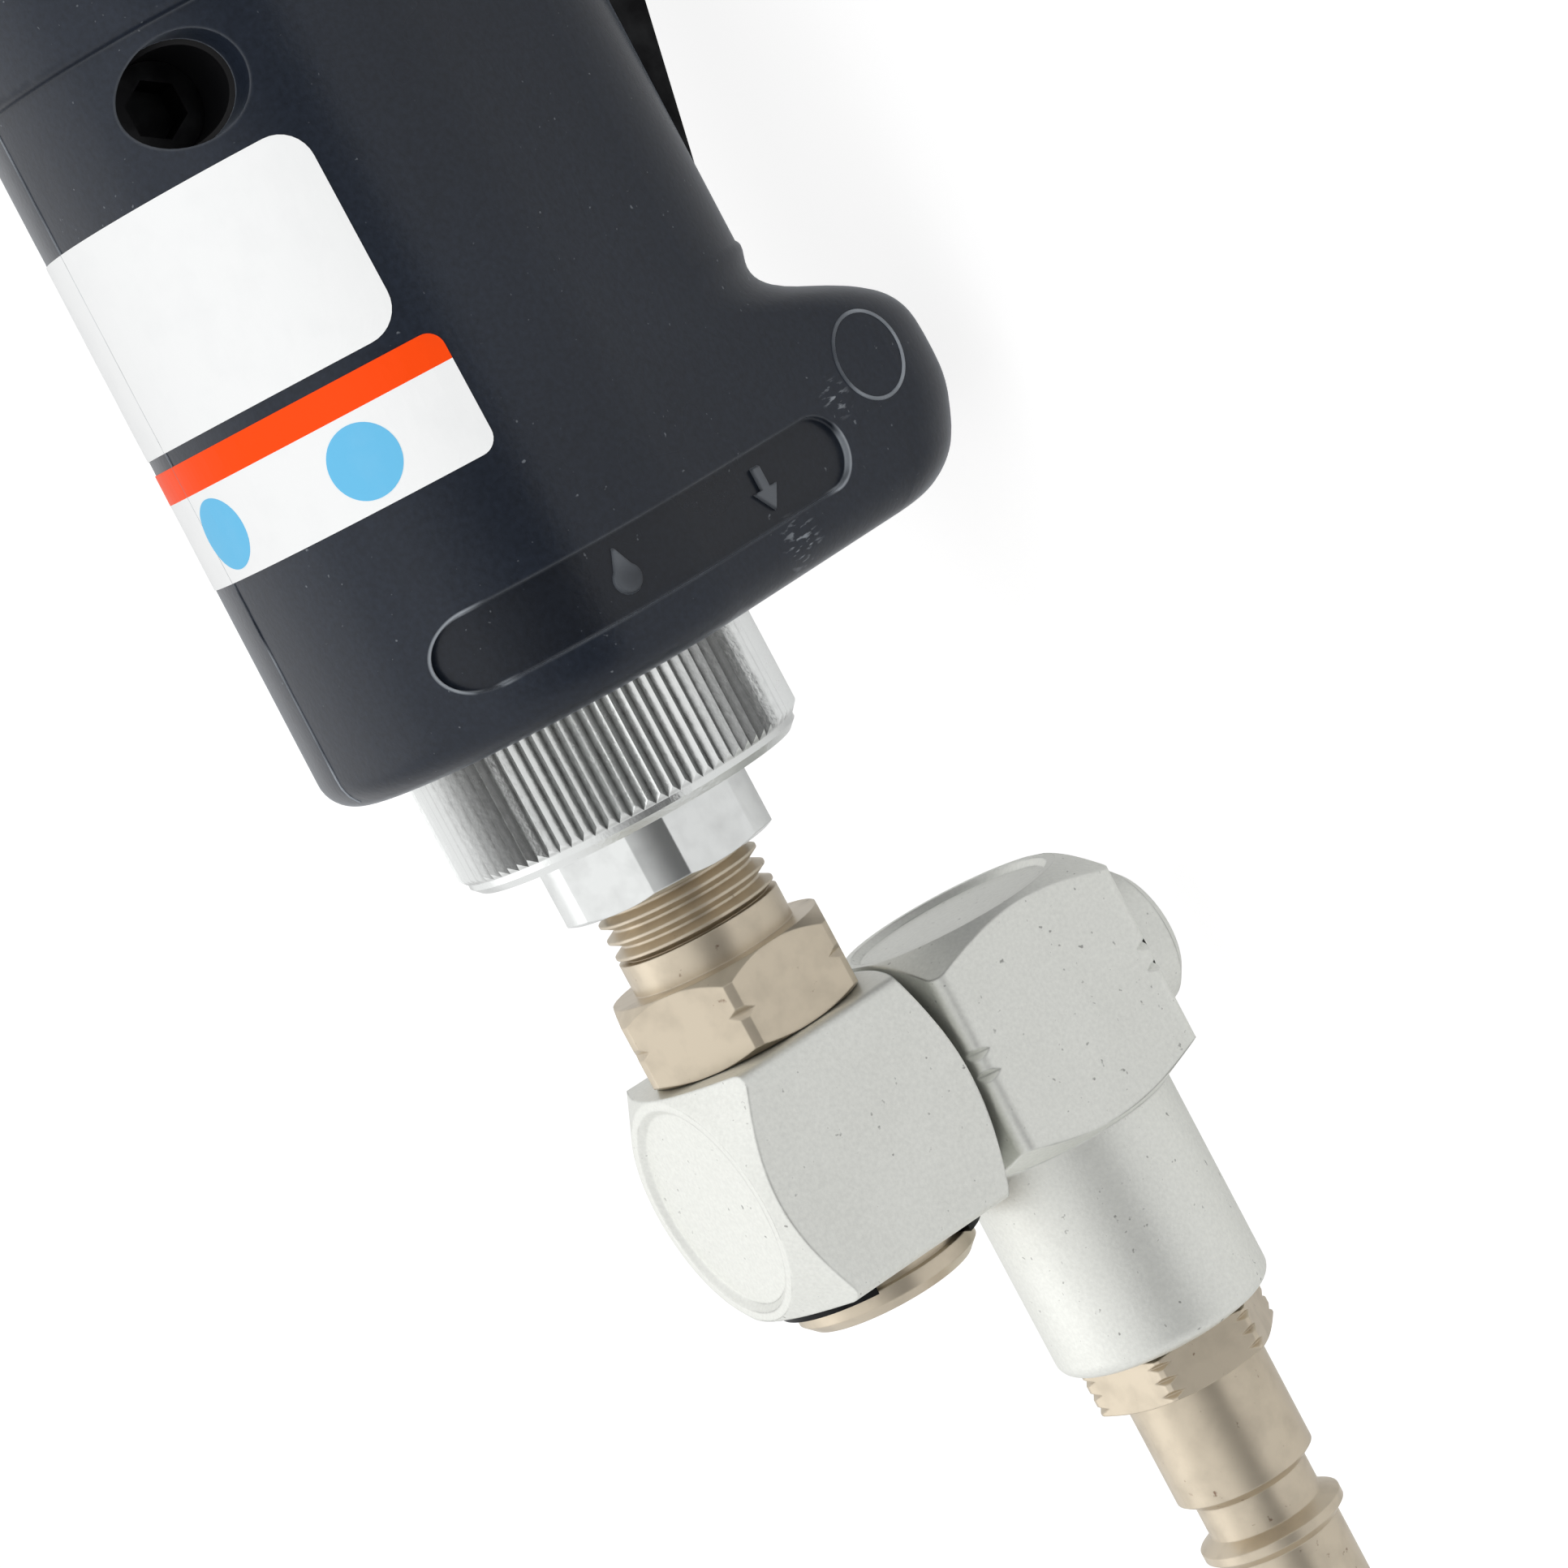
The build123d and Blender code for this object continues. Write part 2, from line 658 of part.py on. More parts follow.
# Swivel stem: air thread, hexagon and the journal that the elbow turns on
x_stem_clip = x_block_rear - slide_gap - clip_thickness
stem_seals = (x_block_front - 3 * o_ring_wire, x_block_rear + 3 * o_ring_wire)
with BuildPart() as swivel_stem:
    x_stem_shoulder = x_stem_hex - stem_hex_length
    hexagon(
        x_stem_shoulder, stem_hex_length, inlet_across_flats, stem_corner_radius, inlet_hex_turn,
        (stem_rear_bevel, stem_front_bevel),
    )
    x_stem_notch = x_stem_shoulder + stem_hex_length / 2
    corner_notches(x_stem_notch, 1, stem_corner_radius, corner_notch_width, stem_notch_depth)
    journal = [
        (x_stem_rear, 0),
        (x_stem_rear, stem_radius - plug_chamfer),
        (x_stem_rear + plug_chamfer, stem_radius),
        (x_stem_shoulder, stem_radius),
        (x_stem_shoulder, 0),
    ]
    turned(journal)
    thread_foot = x_stem_hex + stem_neck_length
    shank = [(x_stem_hex, 0), (x_stem_hex, stem_neck_radius), (thread_foot, stem_neck_radius)]
    shank += air_thread(thread_foot, x_thread_front)
    shank += [(x_thread_front, air_thread_root), (x_thread_front, 0)]
    turned(shank)
    turned(band(x_swivel - stem_bore, x_thread_front, stem_bore), mode=Mode.SUBTRACT)
    turned_upright(upright_band(-stem_radius, stem_radius, cross_hole_radius), x_swivel, Mode.SUBTRACT)
    side_bar(x_swivel, 0, cross_hole_radius, -stem_radius, stem_radius, Mode.SUBTRACT)
    for seal in stem_seals:
        groove = o_ring_wire + slip
        turned(band(seal - groove, seal + groove, stem_radius, stem_radius - 2 * groove), mode=Mode.SUBTRACT)
    turned(
        band(x_stem_clip, x_stem_clip + clip_thickness + slide_gap, stem_radius, stem_radius - clip_grip),
        mode=Mode.SUBTRACT,
    )
swivel_stem.part.label = "swivel_stem"
export_step(swivel_stem.part, "parts/swivel_stem.step")

with BuildPart() as stem_o_rings:
    for seal in stem_seals:
        o_ring(seal, stem_radius - o_ring_wire - slip, o_ring_wire)
stem_o_rings.part.label = "stem_o_rings"
export_step(stem_o_rings.part, "parts/stem_o_rings.step")

# Circlip that keeps the elbow on the stem, with its opening on the right of the tool
with BuildPart() as stem_circlip:
    with BuildSketch(Plane.YZ.offset(x_stem_clip)):
        Circle(stem_radius + clip_rim)
        Circle(stem_radius - clip_grip + slip, mode=Mode.SUBTRACT)
        with Locations((-stem_radius, 0)):
            Rectangle(2 * stem_radius, stem_clip_opening, mode=Mode.SUBTRACT)
    extrude(amount=clip_thickness)
stem_circlip.part.label = "stem_circlip"
export_step(stem_circlip.part, "parts/stem_circlip.step")

# Swivel elbow: square block on the stem, with the cross spigot that carries the socket
spigot_end = z_socket_bottom - spigot_tail
z_spigot_clip = z_socket_bottom - slide_gap - clip_thickness
spigot_seals = (z_socket_top - 3 * o_ring_wire, z_socket_bottom + 3 * o_ring_wire)
with BuildPart() as swivel_elbow:
    with BuildSketch(Plane.XY.offset(-elbow_front)) as elbow_outline:
        with Locations((x_swivel, 0)):
            RectangleRounded(block_size, elbow_depth, block_round)
    extrude(elbow_outline.sketch, amount=elbow_front + elbow_back)
    elbow_corner = math.hypot(block_size, elbow_depth) / 2
    elbow_ends = [
        (0, -elbow_front),
        (elbow_face_radius, -elbow_front),
        (elbow_corner, -elbow_front + elbow_front_bevel),
        (elbow_corner, elbow_back - elbow_bevel),
        (elbow_face_radius, elbow_back),
        (0, elbow_back),
    ]
    turned_upright(elbow_ends, x_swivel, Mode.INTERSECT)
    elbow_dish = [
        (0, elbow_back - dish_depth),
        (elbow_dish_radius - dish_depth, elbow_back - dish_depth),
        (elbow_dish_radius, elbow_back),
        (0, elbow_back),
    ]
    turned_upright(elbow_dish, x_swivel, Mode.SUBTRACT)
    spigot = [
        (0, spigot_end),
        (spigot_radius - plug_chamfer, spigot_end),
        (spigot_radius, spigot_end + plug_chamfer),
        (spigot_radius, 0),
        (0, 0),
    ]
    turned_upright(spigot, x_swivel)
    turned(band(x_block_rear, x_block_front, stem_radius + slip), mode=Mode.SUBTRACT)
    turned_upright(upright_band(z_socket - spigot_bore, 0, spigot_bore), x_swivel, Mode.SUBTRACT)
    cross_hole = band(x_swivel - spigot_radius, x_swivel + spigot_radius, cross_hole_radius)
    turned(cross_hole, z_socket, Mode.SUBTRACT)
    for seal in spigot_seals:
        groove = o_ring_wire + slip
        turned_upright(
            upright_band(seal - groove, seal + groove, spigot_radius, spigot_radius - 2 * groove),
            x_swivel,
            Mode.SUBTRACT,
        )
    turned_upright(
        upright_band(z_spigot_clip, z_socket_bottom, spigot_radius, spigot_radius - clip_grip),
        x_swivel,
        Mode.SUBTRACT,
    )
swivel_elbow.part.label = "swivel_elbow"
export_step(swivel_elbow.part, "parts/swivel_elbow.step")

with BuildPart() as spigot_o_rings:
    for seal in spigot_seals:
        upright_o_ring(seal, spigot_radius - o_ring_wire - slip, o_ring_wire, x_swivel)
spigot_o_rings.part.label = "spigot_o_rings"
export_step(spigot_o_rings.part, "parts/spigot_o_rings.step")

with BuildPart() as spigot_circlip:
    with BuildSketch(Plane.XY.offset(z_spigot_clip)):
        with Locations((x_swivel, 0)):
            Circle(spigot_radius + clip_rim)
            Circle(spigot_radius - clip_grip + slip, mode=Mode.SUBTRACT)
        with Locations((x_swivel + spigot_radius, 0)):
            Rectangle(2 * spigot_radius, spigot_clip_opening, mode=Mode.SUBTRACT)
    extrude(amount=clip_thickness)
spigot_circlip.part.label = "spigot_circlip"
export_step(spigot_circlip.part, "parts/spigot_circlip.step")

# Swivel socket: square block on the spigot, with a round socket for the air plug
with BuildPart() as swivel_socket:
    with BuildSketch(Plane.YZ.offset(x_block_rear)) as socket_outline:
        with Locations((0, z_socket)):
            RectangleRounded(socket_depth, socket_width, block_round)
    extrude(socket_outline.sketch, amount=block_size)
    socket_corner = math.hypot(socket_depth, socket_width) / 2
    socket_ends = [
        (x_block_rear, 0),
        (x_block_rear, socket_face_radius),
        (x_block_rear + socket_bevel, socket_corner),
        (x_block_front - socket_bevel, socket_corner),
        (x_block_front, socket_face_radius),
        (x_block_front, 0),
    ]
    turned(socket_ends, z_socket, Mode.INTERSECT)
    notch_corner = socket_corner - corner_notch_depth
    corner_notches(x_swivel, 2, notch_corner, corner_notch_width, corner_notch_depth, z_socket)
    turned(band(x_tube_rear, x_block_rear, socket_tube_radius), z_socket)
    fillet(swivel_socket.edges().group_by(Axis.X)[0], socket_tube_round)
    socket_dish = [
        (x_block_front - dish_depth, 0),
        (x_block_front - dish_depth, socket_dish_radius - dish_depth),
        (x_block_front, socket_dish_radius),
        (x_block_front, 0),
    ]
    turned(socket_dish, z_socket, Mode.SUBTRACT)
    x_plug_front = x_tube_rear + air_thread_depth
    turned(band(x_tube_rear, x_plug_front, air_thread_radius + slip), z_socket, Mode.SUBTRACT)
    turned(band(x_plug_front, x_swivel, stem_bore), z_socket, Mode.SUBTRACT)
    spigot_hole = upright_band(z_socket_bottom, z_socket_top, spigot_radius + slip)
    turned_upright(spigot_hole, x_swivel, Mode.SUBTRACT)
swivel_socket.part.label = "swivel_socket"
export_step(swivel_socket.part, "parts/swivel_socket.step")

# Air plug: quick-connect nipple screwed into the socket
with BuildPart() as air_plug:
    x_plug_hex = x_tube_rear - plug_hex_length
    x_plug_shaft = x_plug_hex - plug_shaft_length
    x_plug_neck = x_plug_shaft - plug_neck_length
    x_plug_bead = x_plug_neck - plug_bead_length
    x_plug_tip = x_plug_bead - plug_tip_length
    hexagon(
        x_plug_hex, plug_hex_length, plug_across_flats, plug_corner_radius, plug_hex_turn,
        (plug_bevel, plug_bevel), z_socket,
    )
    x_plug_notch = x_plug_hex + plug_hex_length / 2
    corner_notches(x_plug_notch, 3, plug_corner_radius, plug_notch_width, plug_notch_depth, z_socket)
    plug_steps = [
        (x_plug_front, 0),
        (x_plug_front, air_thread_radius),
        (x_tube_rear, air_thread_radius),
        (x_tube_rear, plug_shaft_radius),
        (x_plug_shaft + plug_chamfer, plug_shaft_radius),
        (x_plug_shaft, plug_neck_radius),
        (x_plug_neck, plug_neck_radius),
        (x_plug_neck - plug_bead_length / 3, plug_bead_radius),
        (x_plug_bead + plug_bead_length / 3, plug_bead_radius),
        (x_plug_bead, plug_tip_radius),
        (x_plug_tip + plug_chamfer, plug_tip_radius),
        (x_plug_tip, plug_tip_radius - plug_chamfer),
        (x_plug_tip, 0),
    ]
    turned(plug_steps, z_socket)
    turned(band(x_plug_tip, x_plug_front, plug_bore), z_socket, Mode.SUBTRACT)
air_plug.part.label = "air_plug"
export_step(air_plug.part, "parts/air_plug.step")

# Valve body: holds the inlet bushing and the throttle valve, inside the grip
valve_body_radius = valve_cavity_radius - slip
with BuildPart() as valve_body:
    x_neck = x_body_rear + valve_neck_length
    turned(band(x_body_rear, x_neck, valve_neck_radius))
    turned(band(x_neck, x_body_front, valve_body_radius))
    turned(band(x_body_rear, x_bushing_front, bushing_radius + slip), mode=Mode.SUBTRACT)
    turned(band(x_bushing_front, x_valve, bushing_bore), mode=Mode.SUBTRACT)
    turned_upright(upright_band(-valve_body_radius, cap_floor, valve_bore), x_valve, Mode.SUBTRACT)
    turned_upright(upright_band(cap_floor, valve_body_radius, cap_radius + slip), x_valve, Mode.SUBTRACT)
    turned(band(x_valve, x_body_front, supply_radius), supply_height, Mode.SUBTRACT)
    side_screw_seat = side_screw_top - side_screw_head_length
    side_screw_end = side_screw_seat - side_screw_length
    for side in (-1, 1):
        side_bar(
            x_side_hole, side_hole_height, side_screw_head + slip,
            side * side_screw_seat, side * valve_body_radius, Mode.SUBTRACT,
        )
        side_bar(
            x_side_hole, side_hole_height, side_screw_radius + slip,
            side * side_screw_end, side * side_screw_seat, Mode.SUBTRACT,
        )
        pin_hole = band(x_body_front - chest_pin_rear, x_body_front, chest_pin_radius + slip)
        turned(pin_hole, side * chest_pin_circle, Mode.SUBTRACT)
    groove_depth = valve_cavity_radius - groove_floor
    with BuildSketch(Plane.YZ.offset(x_body_rear)):
        for angle in groove_angles:
            with PolarLocations(groove_floor + groove_depth / 2, 1, angle):
                Rectangle(groove_depth, groove_width)
    extrude(amount=x_body_front - x_body_rear, mode=Mode.SUBTRACT)
valve_body.part.label = "valve_body"
export_step(valve_body.part, "parts/valve_body.step")

# Socket-head screws deep in the grip's side holes
with BuildPart() as retaining_screws:
    for side in (-1, 1):
        side_bar(
            x_side_hole, side_hole_height, side_screw_head, side * side_screw_seat, side * side_screw_top
        )
        side_bar(
            x_side_hole, side_hole_height, side_screw_radius, side * side_screw_end, side * side_screw_seat
        )
        with BuildSketch(Plane.XZ.offset(side * side_screw_top)):
            with Locations((x_side_hole, side_hole_height)):
                RegularPolygon(screw_key / 2, 6, major_radius=False)
        extrude(amount=-side * screw_key_depth, mode=Mode.SUBTRACT)
retaining_screws.part.label = "retaining_screws"
export_step(retaining_screws.part, "parts/retaining_screws.step")

# Valve bush: guide and seat of the throttle valve, screwed in through the lever's slot
valve_bush_bottom = -slot_rear_depth - valve_flange_thickness
with BuildPart() as valve_bush:
    turned_upright(upright_band(valve_bush_bottom, -slot_rear_depth, valve_flange_radius), x_valve)
    turned_upright(upright_band(-slot_rear_depth, valve_seat_height, valve_bore - slip), x_valve)
    stem_hole = upright_band(valve_bush_bottom, valve_seat_height, valve_stem_radius + slip)
    turned_upright(stem_hole, x_valve, Mode.SUBTRACT)
    flow_hole = upright_band(valve_guide_top, valve_seat_height, valve_flow_radius)
    turned_upright(flow_hole, x_valve, Mode.SUBTRACT)
    valve_pocket_radius = valve_stem_radius + 2 * valve_o_ring_wire + 2 * slip
    valve_pocket_top = valve_bush_bottom + 2 * valve_o_ring_wire + 2 * slip
    pocket = upright_band(valve_bush_bottom, valve_pocket_top, valve_pocket_radius)
    turned_upright(pocket, x_valve, Mode.SUBTRACT)
    turned(band(x_valve - valve_bore, x_valve + valve_bore, valve_port_radius), supply_height, Mode.SUBTRACT)
valve_bush.part.label = "valve_bush"
export_step(valve_bush.part, "parts/valve_bush.step")

with BuildPart() as valve_o_ring:
    upright_o_ring(
        valve_bush_bottom + valve_o_ring_wire + slip,
        valve_stem_radius + slip + valve_o_ring_wire,
        valve_o_ring_wire,
        x_valve,
    )
valve_o_ring.part.label = "valve_o_ring"
export_step(valve_o_ring.part, "parts/valve_o_ring.step")

# Valve stem: its rounded end stands on the lever, its head closes the bush
lever_slope = math.radians(lever_angle)
lever_reach = x_valve - x_lever_pin
lever_face = lever_reach * math.tan(lever_slope) + (lever_drop - lever_web) / math.cos(lever_slope)
valve_stem_bottom = z_lever_pin - lever_face + valve_stem_gap
valve_seal_bottom = valve_seat_height + seat_gap
valve_head_bottom = valve_seal_bottom + valve_seal_thickness
valve_head_top = valve_head_bottom + valve_head_thickness
with BuildPart() as valve_stem:
    turned_upright(
        upright_band(valve_stem_bottom + valve_stem_radius, valve_head_bottom, valve_stem_radius), x_valve
    )
    with Locations((x_valve, 0, valve_stem_bottom + valve_stem_radius)):
        Sphere(valve_stem_radius)
    turned_upright(upright_band(valve_head_bottom, valve_head_top, valve_head_radius), x_valve)
valve_stem.part.label = "valve_stem"
export_step(valve_stem.part, "parts/valve_stem.step")

with BuildPart() as valve_seal:
    turned_upright(
        upright_band(valve_seal_bottom, valve_head_bottom, valve_head_radius, valve_seal_inner), x_valve
    )
valve_seal.part.label = "valve_seal"
export_step(valve_seal.part, "parts/valve_seal.step")

# Valve spring: a coil of tangent arcs between the valve's head and the cap
spring_bottom = valve_head_top + spring_wire + seat_gap
spring_rise = (cap_floor - spring_wire - seat_gap - spring_bottom) / (4 * spring_turns)
with BuildPart() as valve_spring:
    with BuildLine() as spring_path:
        for quarter in range(4 * spring_turns):
            start_point, start_way = coil_place(quarter)
            end_point, end_way = coil_place(quarter + 1)
            chord = end_point - start_point
            pull = chord.dot(start_way + end_way)
            turn = 2 * (1 - start_way.dot(end_way))
            handle = (math.sqrt(pull**2 + turn * chord.dot(chord)) - pull) / turn
            middle = (start_point + end_point + (start_way - end_way) * handle) * 0.5
            TangentArc(start_point, middle, tangent=start_way)
            TangentArc(end_point, middle, tangent=end_way * -1)
    with BuildSketch(Plane(spring_path.line @ 0, z_dir=spring_path.line % 0)):
        Circle(spring_wire)
    sweep(path=spring_path.line)
valve_spring.part.label = "valve_spring"
export_step(valve_spring.part, "parts/valve_spring.step")

# Valve cap: screwed into the top of the valve body
with BuildPart() as valve_cap:
    turned_upright(upright_band(cap_floor, cap_top, cap_radius), x_valve)
    with BuildSketch(Plane.XY.offset(cap_top)):
        with Locations((x_valve, 0)):
            RegularPolygon(cap_key_width / 2, 6, major_radius=False)
    extrude(amount=-cap_key_depth, mode=Mode.SUBTRACT)
valve_cap.part.label = "valve_cap"
export_step(valve_cap.part, "parts/valve_cap.step")

# Lever pin: blind on the right of the grip, open on the left
with BuildPart() as lever_pin:
    side_bar(x_lever_pin, z_lever_pin, lever_pin_radius, -lever_pin_far, lever_pin_near - slide_gap)
lever_pin.part.label = "lever_pin"
export_step(lever_pin.part, "parts/lever_pin.step")

# Throttle lever: a channel that slopes away from the grip
lever_plane = Plane(
    origin=(x_lever_pin, 0, z_lever_pin),
    x_dir=(math.cos(lever_slope), 0, -math.sin(lever_slope)),
    z_dir=(0, -1, 0),
)
with BuildPart() as throttle_lever:
    with BuildSketch(lever_plane):
        with BuildLine():
            Polyline(
                (-lever_tail, -lever_drop),
                (lever_length, -lever_drop),
                (lever_length, -lever_drop + lever_web + lever_front_leg),
                (lever_tail, lever_ear),
                (-lever_tail, lever_ear),
                close=True,
            )
        make_face()
    extrude(amount=lever_width / 2, both=True)
    tail_edges = throttle_lever.edges().filter_by(Axis.Y).sort_by(Axis.X)[:2]
    fillet(tail_edges, lever_ear - slip)
    front_edges = throttle_lever.edges().filter_by(Axis.Y).sort_by(Axis.X)[-2:]
    fillet(front_edges, lever_front_round)
    with BuildSketch(lever_plane):
        with BuildLine():
            Polyline(
                (-2 * lever_tail, lever_web - lever_drop),
                (lever_length - lever_leg, lever_web - lever_drop),
                (lever_length - lever_leg, 2 * lever_ear),
                (-2 * lever_tail, 2 * lever_ear),
                close=True,
            )
        make_face()
    extrude(amount=lever_width / 2 - lever_leg, both=True, mode=Mode.SUBTRACT)
    with BuildSketch(lever_plane):
        Circle(lever_pin_radius + slip)
    extrude(amount=lever_width, both=True, mode=Mode.SUBTRACT)
throttle_lever.part.label = "throttle_lever"
export_step(throttle_lever.part, "parts/throttle_lever.step")


def chest_pin_holes(start, end):
    """Holes for the two locating pins of the motor's rear end."""
    for side in (-1, 1):
        turned(band(start, end, chest_pin_radius + slip), side * chest_pin_circle, Mode.SUBTRACT)


# Rear head: closes the valve chest and seals on the valve body
with BuildPart() as rear_head:
    turned(band(x_body_front, x_chest_rear, motor_radius))
    turned(band(x_body_front, x_chest_rear, supply_radius), supply_height, Mode.SUBTRACT)
    head_groove = head_o_ring_wire + slip
    turned(
        band(
            x_body_front,
            x_body_front + 2 * head_groove,
            head_o_ring_radius + head_groove,
            head_o_ring_radius - head_groove,
        ),
        supply_height,
        Mode.SUBTRACT,
    )
    chest_pin_holes(x_body_front, x_chest_rear)
rear_head.part.label = "rear_head"
export_step(rear_head.part, "parts/rear_head.step")

with BuildPart() as head_o_ring:
    o_ring(x_body_front + head_groove, head_o_ring_radius, head_o_ring_wire, supply_height)
head_o_ring.part.label = "head_o_ring"
export_step(head_o_ring.part, "parts/head_o_ring.step")

# Valve chest: the flutter valve's chamber and the ports to the cylinder
with BuildPart() as valve_chest:
    turned(band(x_chest_rear, x_cylinder_rear, motor_radius))
    turned(band(x_chest_rear, x_chest_rear + chest_cavity_depth, chest_cavity_radius), mode=Mode.SUBTRACT)
    with BuildSketch(Plane.YZ.offset(x_chest_rear)):
        with PolarLocations(chest_port_circle, chest_port_count):
            Circle(chest_port_radius)
    extrude(amount=chest_thickness, mode=Mode.SUBTRACT)
    chest_pin_holes(x_chest_rear, x_cylinder_rear)
valve_chest.part.label = "valve_chest"
export_step(valve_chest.part, "parts/valve_chest.step")

with BuildPart() as flutter_valve:
    x_flutter = x_chest_rear + flutter_seat_gap
    turned(band(x_flutter, x_flutter + flutter_thickness, flutter_radius, chest_port_radius))
flutter_valve.part.label = "flutter_valve"
export_step(flutter_valve.part, "parts/flutter_valve.step")

with BuildPart() as chest_pins:
    for side in (-1, 1):
        pin_ends = (x_body_front - chest_pin_rear, x_cylinder_rear + chest_pin_front)
        turned(band(*pin_ends, chest_pin_radius), side * chest_pin_circle)
chest_pins.part.label = "chest_pins"
export_step(chest_pins.part, "parts/chest_pins.step")

# Cylinder with its ring of exhaust ports
with BuildPart() as cylinder:
    turned(band(x_cylinder_rear, x_cylinder_front, motor_radius, cylinder_bore))
    x_port = x_nose_rear - cylinder_port_clear - cylinder_port_radius
    for port in range(cylinder_port_count):
        turn = 2 * math.pi * port / cylinder_port_count
        port_plane = Plane((x_port, 0, 0), x_dir=(1, 0, 0), z_dir=(0, math.cos(turn), math.sin(turn)))
        with BuildSketch(port_plane):
            Circle(cylinder_port_radius)
        extrude(amount=motor_radius, mode=Mode.SUBTRACT)
    chest_pin_holes(x_cylinder_rear, x_cylinder_rear + chest_pin_front)
cylinder.part.label = "cylinder"
export_step(cylinder.part, "parts/cylinder.step")

# Piston and rod in one piece, at the end of the back stroke
with BuildPart() as piston_rod:
    piston_radius = cylinder_bore - slip
    turned(band(x_piston_rear, x_piston_front, piston_radius))
    turned(band(x_piston_front, x_rod_front, rod_radius))
    x_ring_groove = (x_piston_rear + x_piston_front) / 2
    half_groove = piston_ring_width / 2
    ring_floor = piston_radius - piston_ring_depth
    turned(
        band(x_ring_groove - half_groove, x_ring_groove + half_groove, piston_radius, ring_floor),
        mode=Mode.SUBTRACT,
    )
piston_rod.part.label = "piston_rod"
export_step(piston_rod.part, "parts/piston_rod.step")

with BuildPart() as piston_ring:
    turned(
        band(
            x_ring_groove - half_groove + slip,
            x_ring_groove + half_groove - slip,
            piston_radius,
            ring_floor + slip,
        )
    )
piston_ring.part.label = "piston_ring"
export_step(piston_ring.part, "parts/piston_ring.step")

# Rubber bumper at the front end of the cylinder
with BuildPart() as bumper:
    bumper_rear = x_cylinder_front - bumper_length
    turned(band(bumper_rear, x_cylinder_front, cylinder_bore - slip, rod_radius + bumper_gap))
bumper.part.label = "bumper"
export_step(bumper.part, "parts/bumper.step")

# Nose housing: holds the cylinder, guides the rod and carries the bracket
x_bush_rear = x_cylinder_front + rod_bush_gap
x_wiper_front = x_nose_front - wiper_depth
x_wiper_rear = x_wiper_front - wiper_length
x_bracket_screw = x_nose_front - bracket_screw_setback
nose_shank_radius = motor_cavity_radius - slip
nose_groove = nose_o_ring_wire + slip
x_nose_o_ring = x_grip_front - nose_groove
with BuildPart() as nose_housing:
    nose_steps = [
        (x_nose_rear, motor_radius + slip),
        (x_nose_rear, nose_shank_radius),
        (x_grip_front, nose_shank_radius),
        (x_grip_front, nose_collar_radius),
        (x_grip_front + nose_collar, nose_collar_radius),
        (x_grip_front + nose_collar, nose_radius),
        (x_nose_front - nose_taper, nose_radius),
        (x_nose_front, nose_front_radius),
        (x_nose_front, wiper_radius + slip),
        (x_wiper_rear, wiper_radius + slip),
        (x_wiper_rear, rod_bush_radius + slip),
        (x_bush_rear, rod_bush_radius + slip),
        (x_bush_rear, rod_radius + bumper_gap),
        (x_cylinder_front, rod_radius + bumper_gap),
        (x_cylinder_front, motor_radius + slip),
    ]
    turned(nose_steps)
    turned(
        band(
            x_nose_o_ring - nose_groove,
            x_nose_o_ring + nose_groove,
            nose_shank_radius,
            nose_shank_radius - 2 * nose_groove,
        ),
        mode=Mode.SUBTRACT,
    )
    with BuildSketch(Plane.XY.offset(bracket_floor)):
        with Locations((x_grip_front + nose_collar, 0)):
            Rectangle(nose_length, bracket_width + 2 * slide_gap, align=(Align.MIN, Align.CENTER))
    extrude(amount=nose_radius, mode=Mode.SUBTRACT)
    screw_hole = upright_band(bracket_floor - bracket_screw_depth, bracket_floor, bracket_screw_radius + slip)
    turned_upright(screw_hole, x_bracket_screw, Mode.SUBTRACT)
    nose_screw_seat = motor_cavity_radius
    nose_screw_end = nose_screw_seat - nose_screw_length
    for side in (-1, 1):
        side_bar(
            x_nose_screw, 0, nose_screw_radius + slip,
            side * nose_screw_end, side * nose_screw_seat, Mode.SUBTRACT,
        )
nose_housing.part.label = "nose_housing"
export_step(nose_housing.part, "parts/nose_housing.step")

with BuildPart() as nose_o_ring:
    o_ring(x_nose_o_ring, nose_shank_radius - nose_groove, nose_o_ring_wire)
nose_o_ring.part.label = "nose_o_ring"
export_step(nose_o_ring.part, "parts/nose_o_ring.step")

# Two screws that hold the grip on the nose
with BuildPart() as nose_screws:
    for side in (-1, 1):
        side_bar(x_nose_screw, 0, nose_screw_radius, side * nose_screw_end, side * nose_screw_seat)
        nose_screw_top = nose_screw_seat + nose_screw_head_length
        side_bar(x_nose_screw, 0, nose_screw_head, side * nose_screw_seat, side * nose_screw_top)
        with BuildSketch(Plane.XZ.offset(side * nose_screw_top)):
            with Locations((x_nose_screw, 0)):
                RegularPolygon(nose_screw_radius / 2 + slip, 6, major_radius=False)
        extrude(amount=-side * nose_screw_head_length / 2, mode=Mode.SUBTRACT)
nose_screws.part.label = "nose_screws"
export_step(nose_screws.part, "parts/nose_screws.step")

with BuildPart() as rod_bush:
    turned(band(x_bush_rear, x_wiper_rear, rod_bush_radius, rod_radius + slip))
rod_bush.part.label = "rod_bush"
export_step(rod_bush.part, "parts/rod_bush.step")

with BuildPart() as rod_wiper:
    turned(band(x_wiper_rear, x_wiper_front, wiper_radius, rod_radius + slip))
rod_wiper.part.label = "rod_wiper"
export_step(rod_wiper.part, "parts/rod_wiper.step")

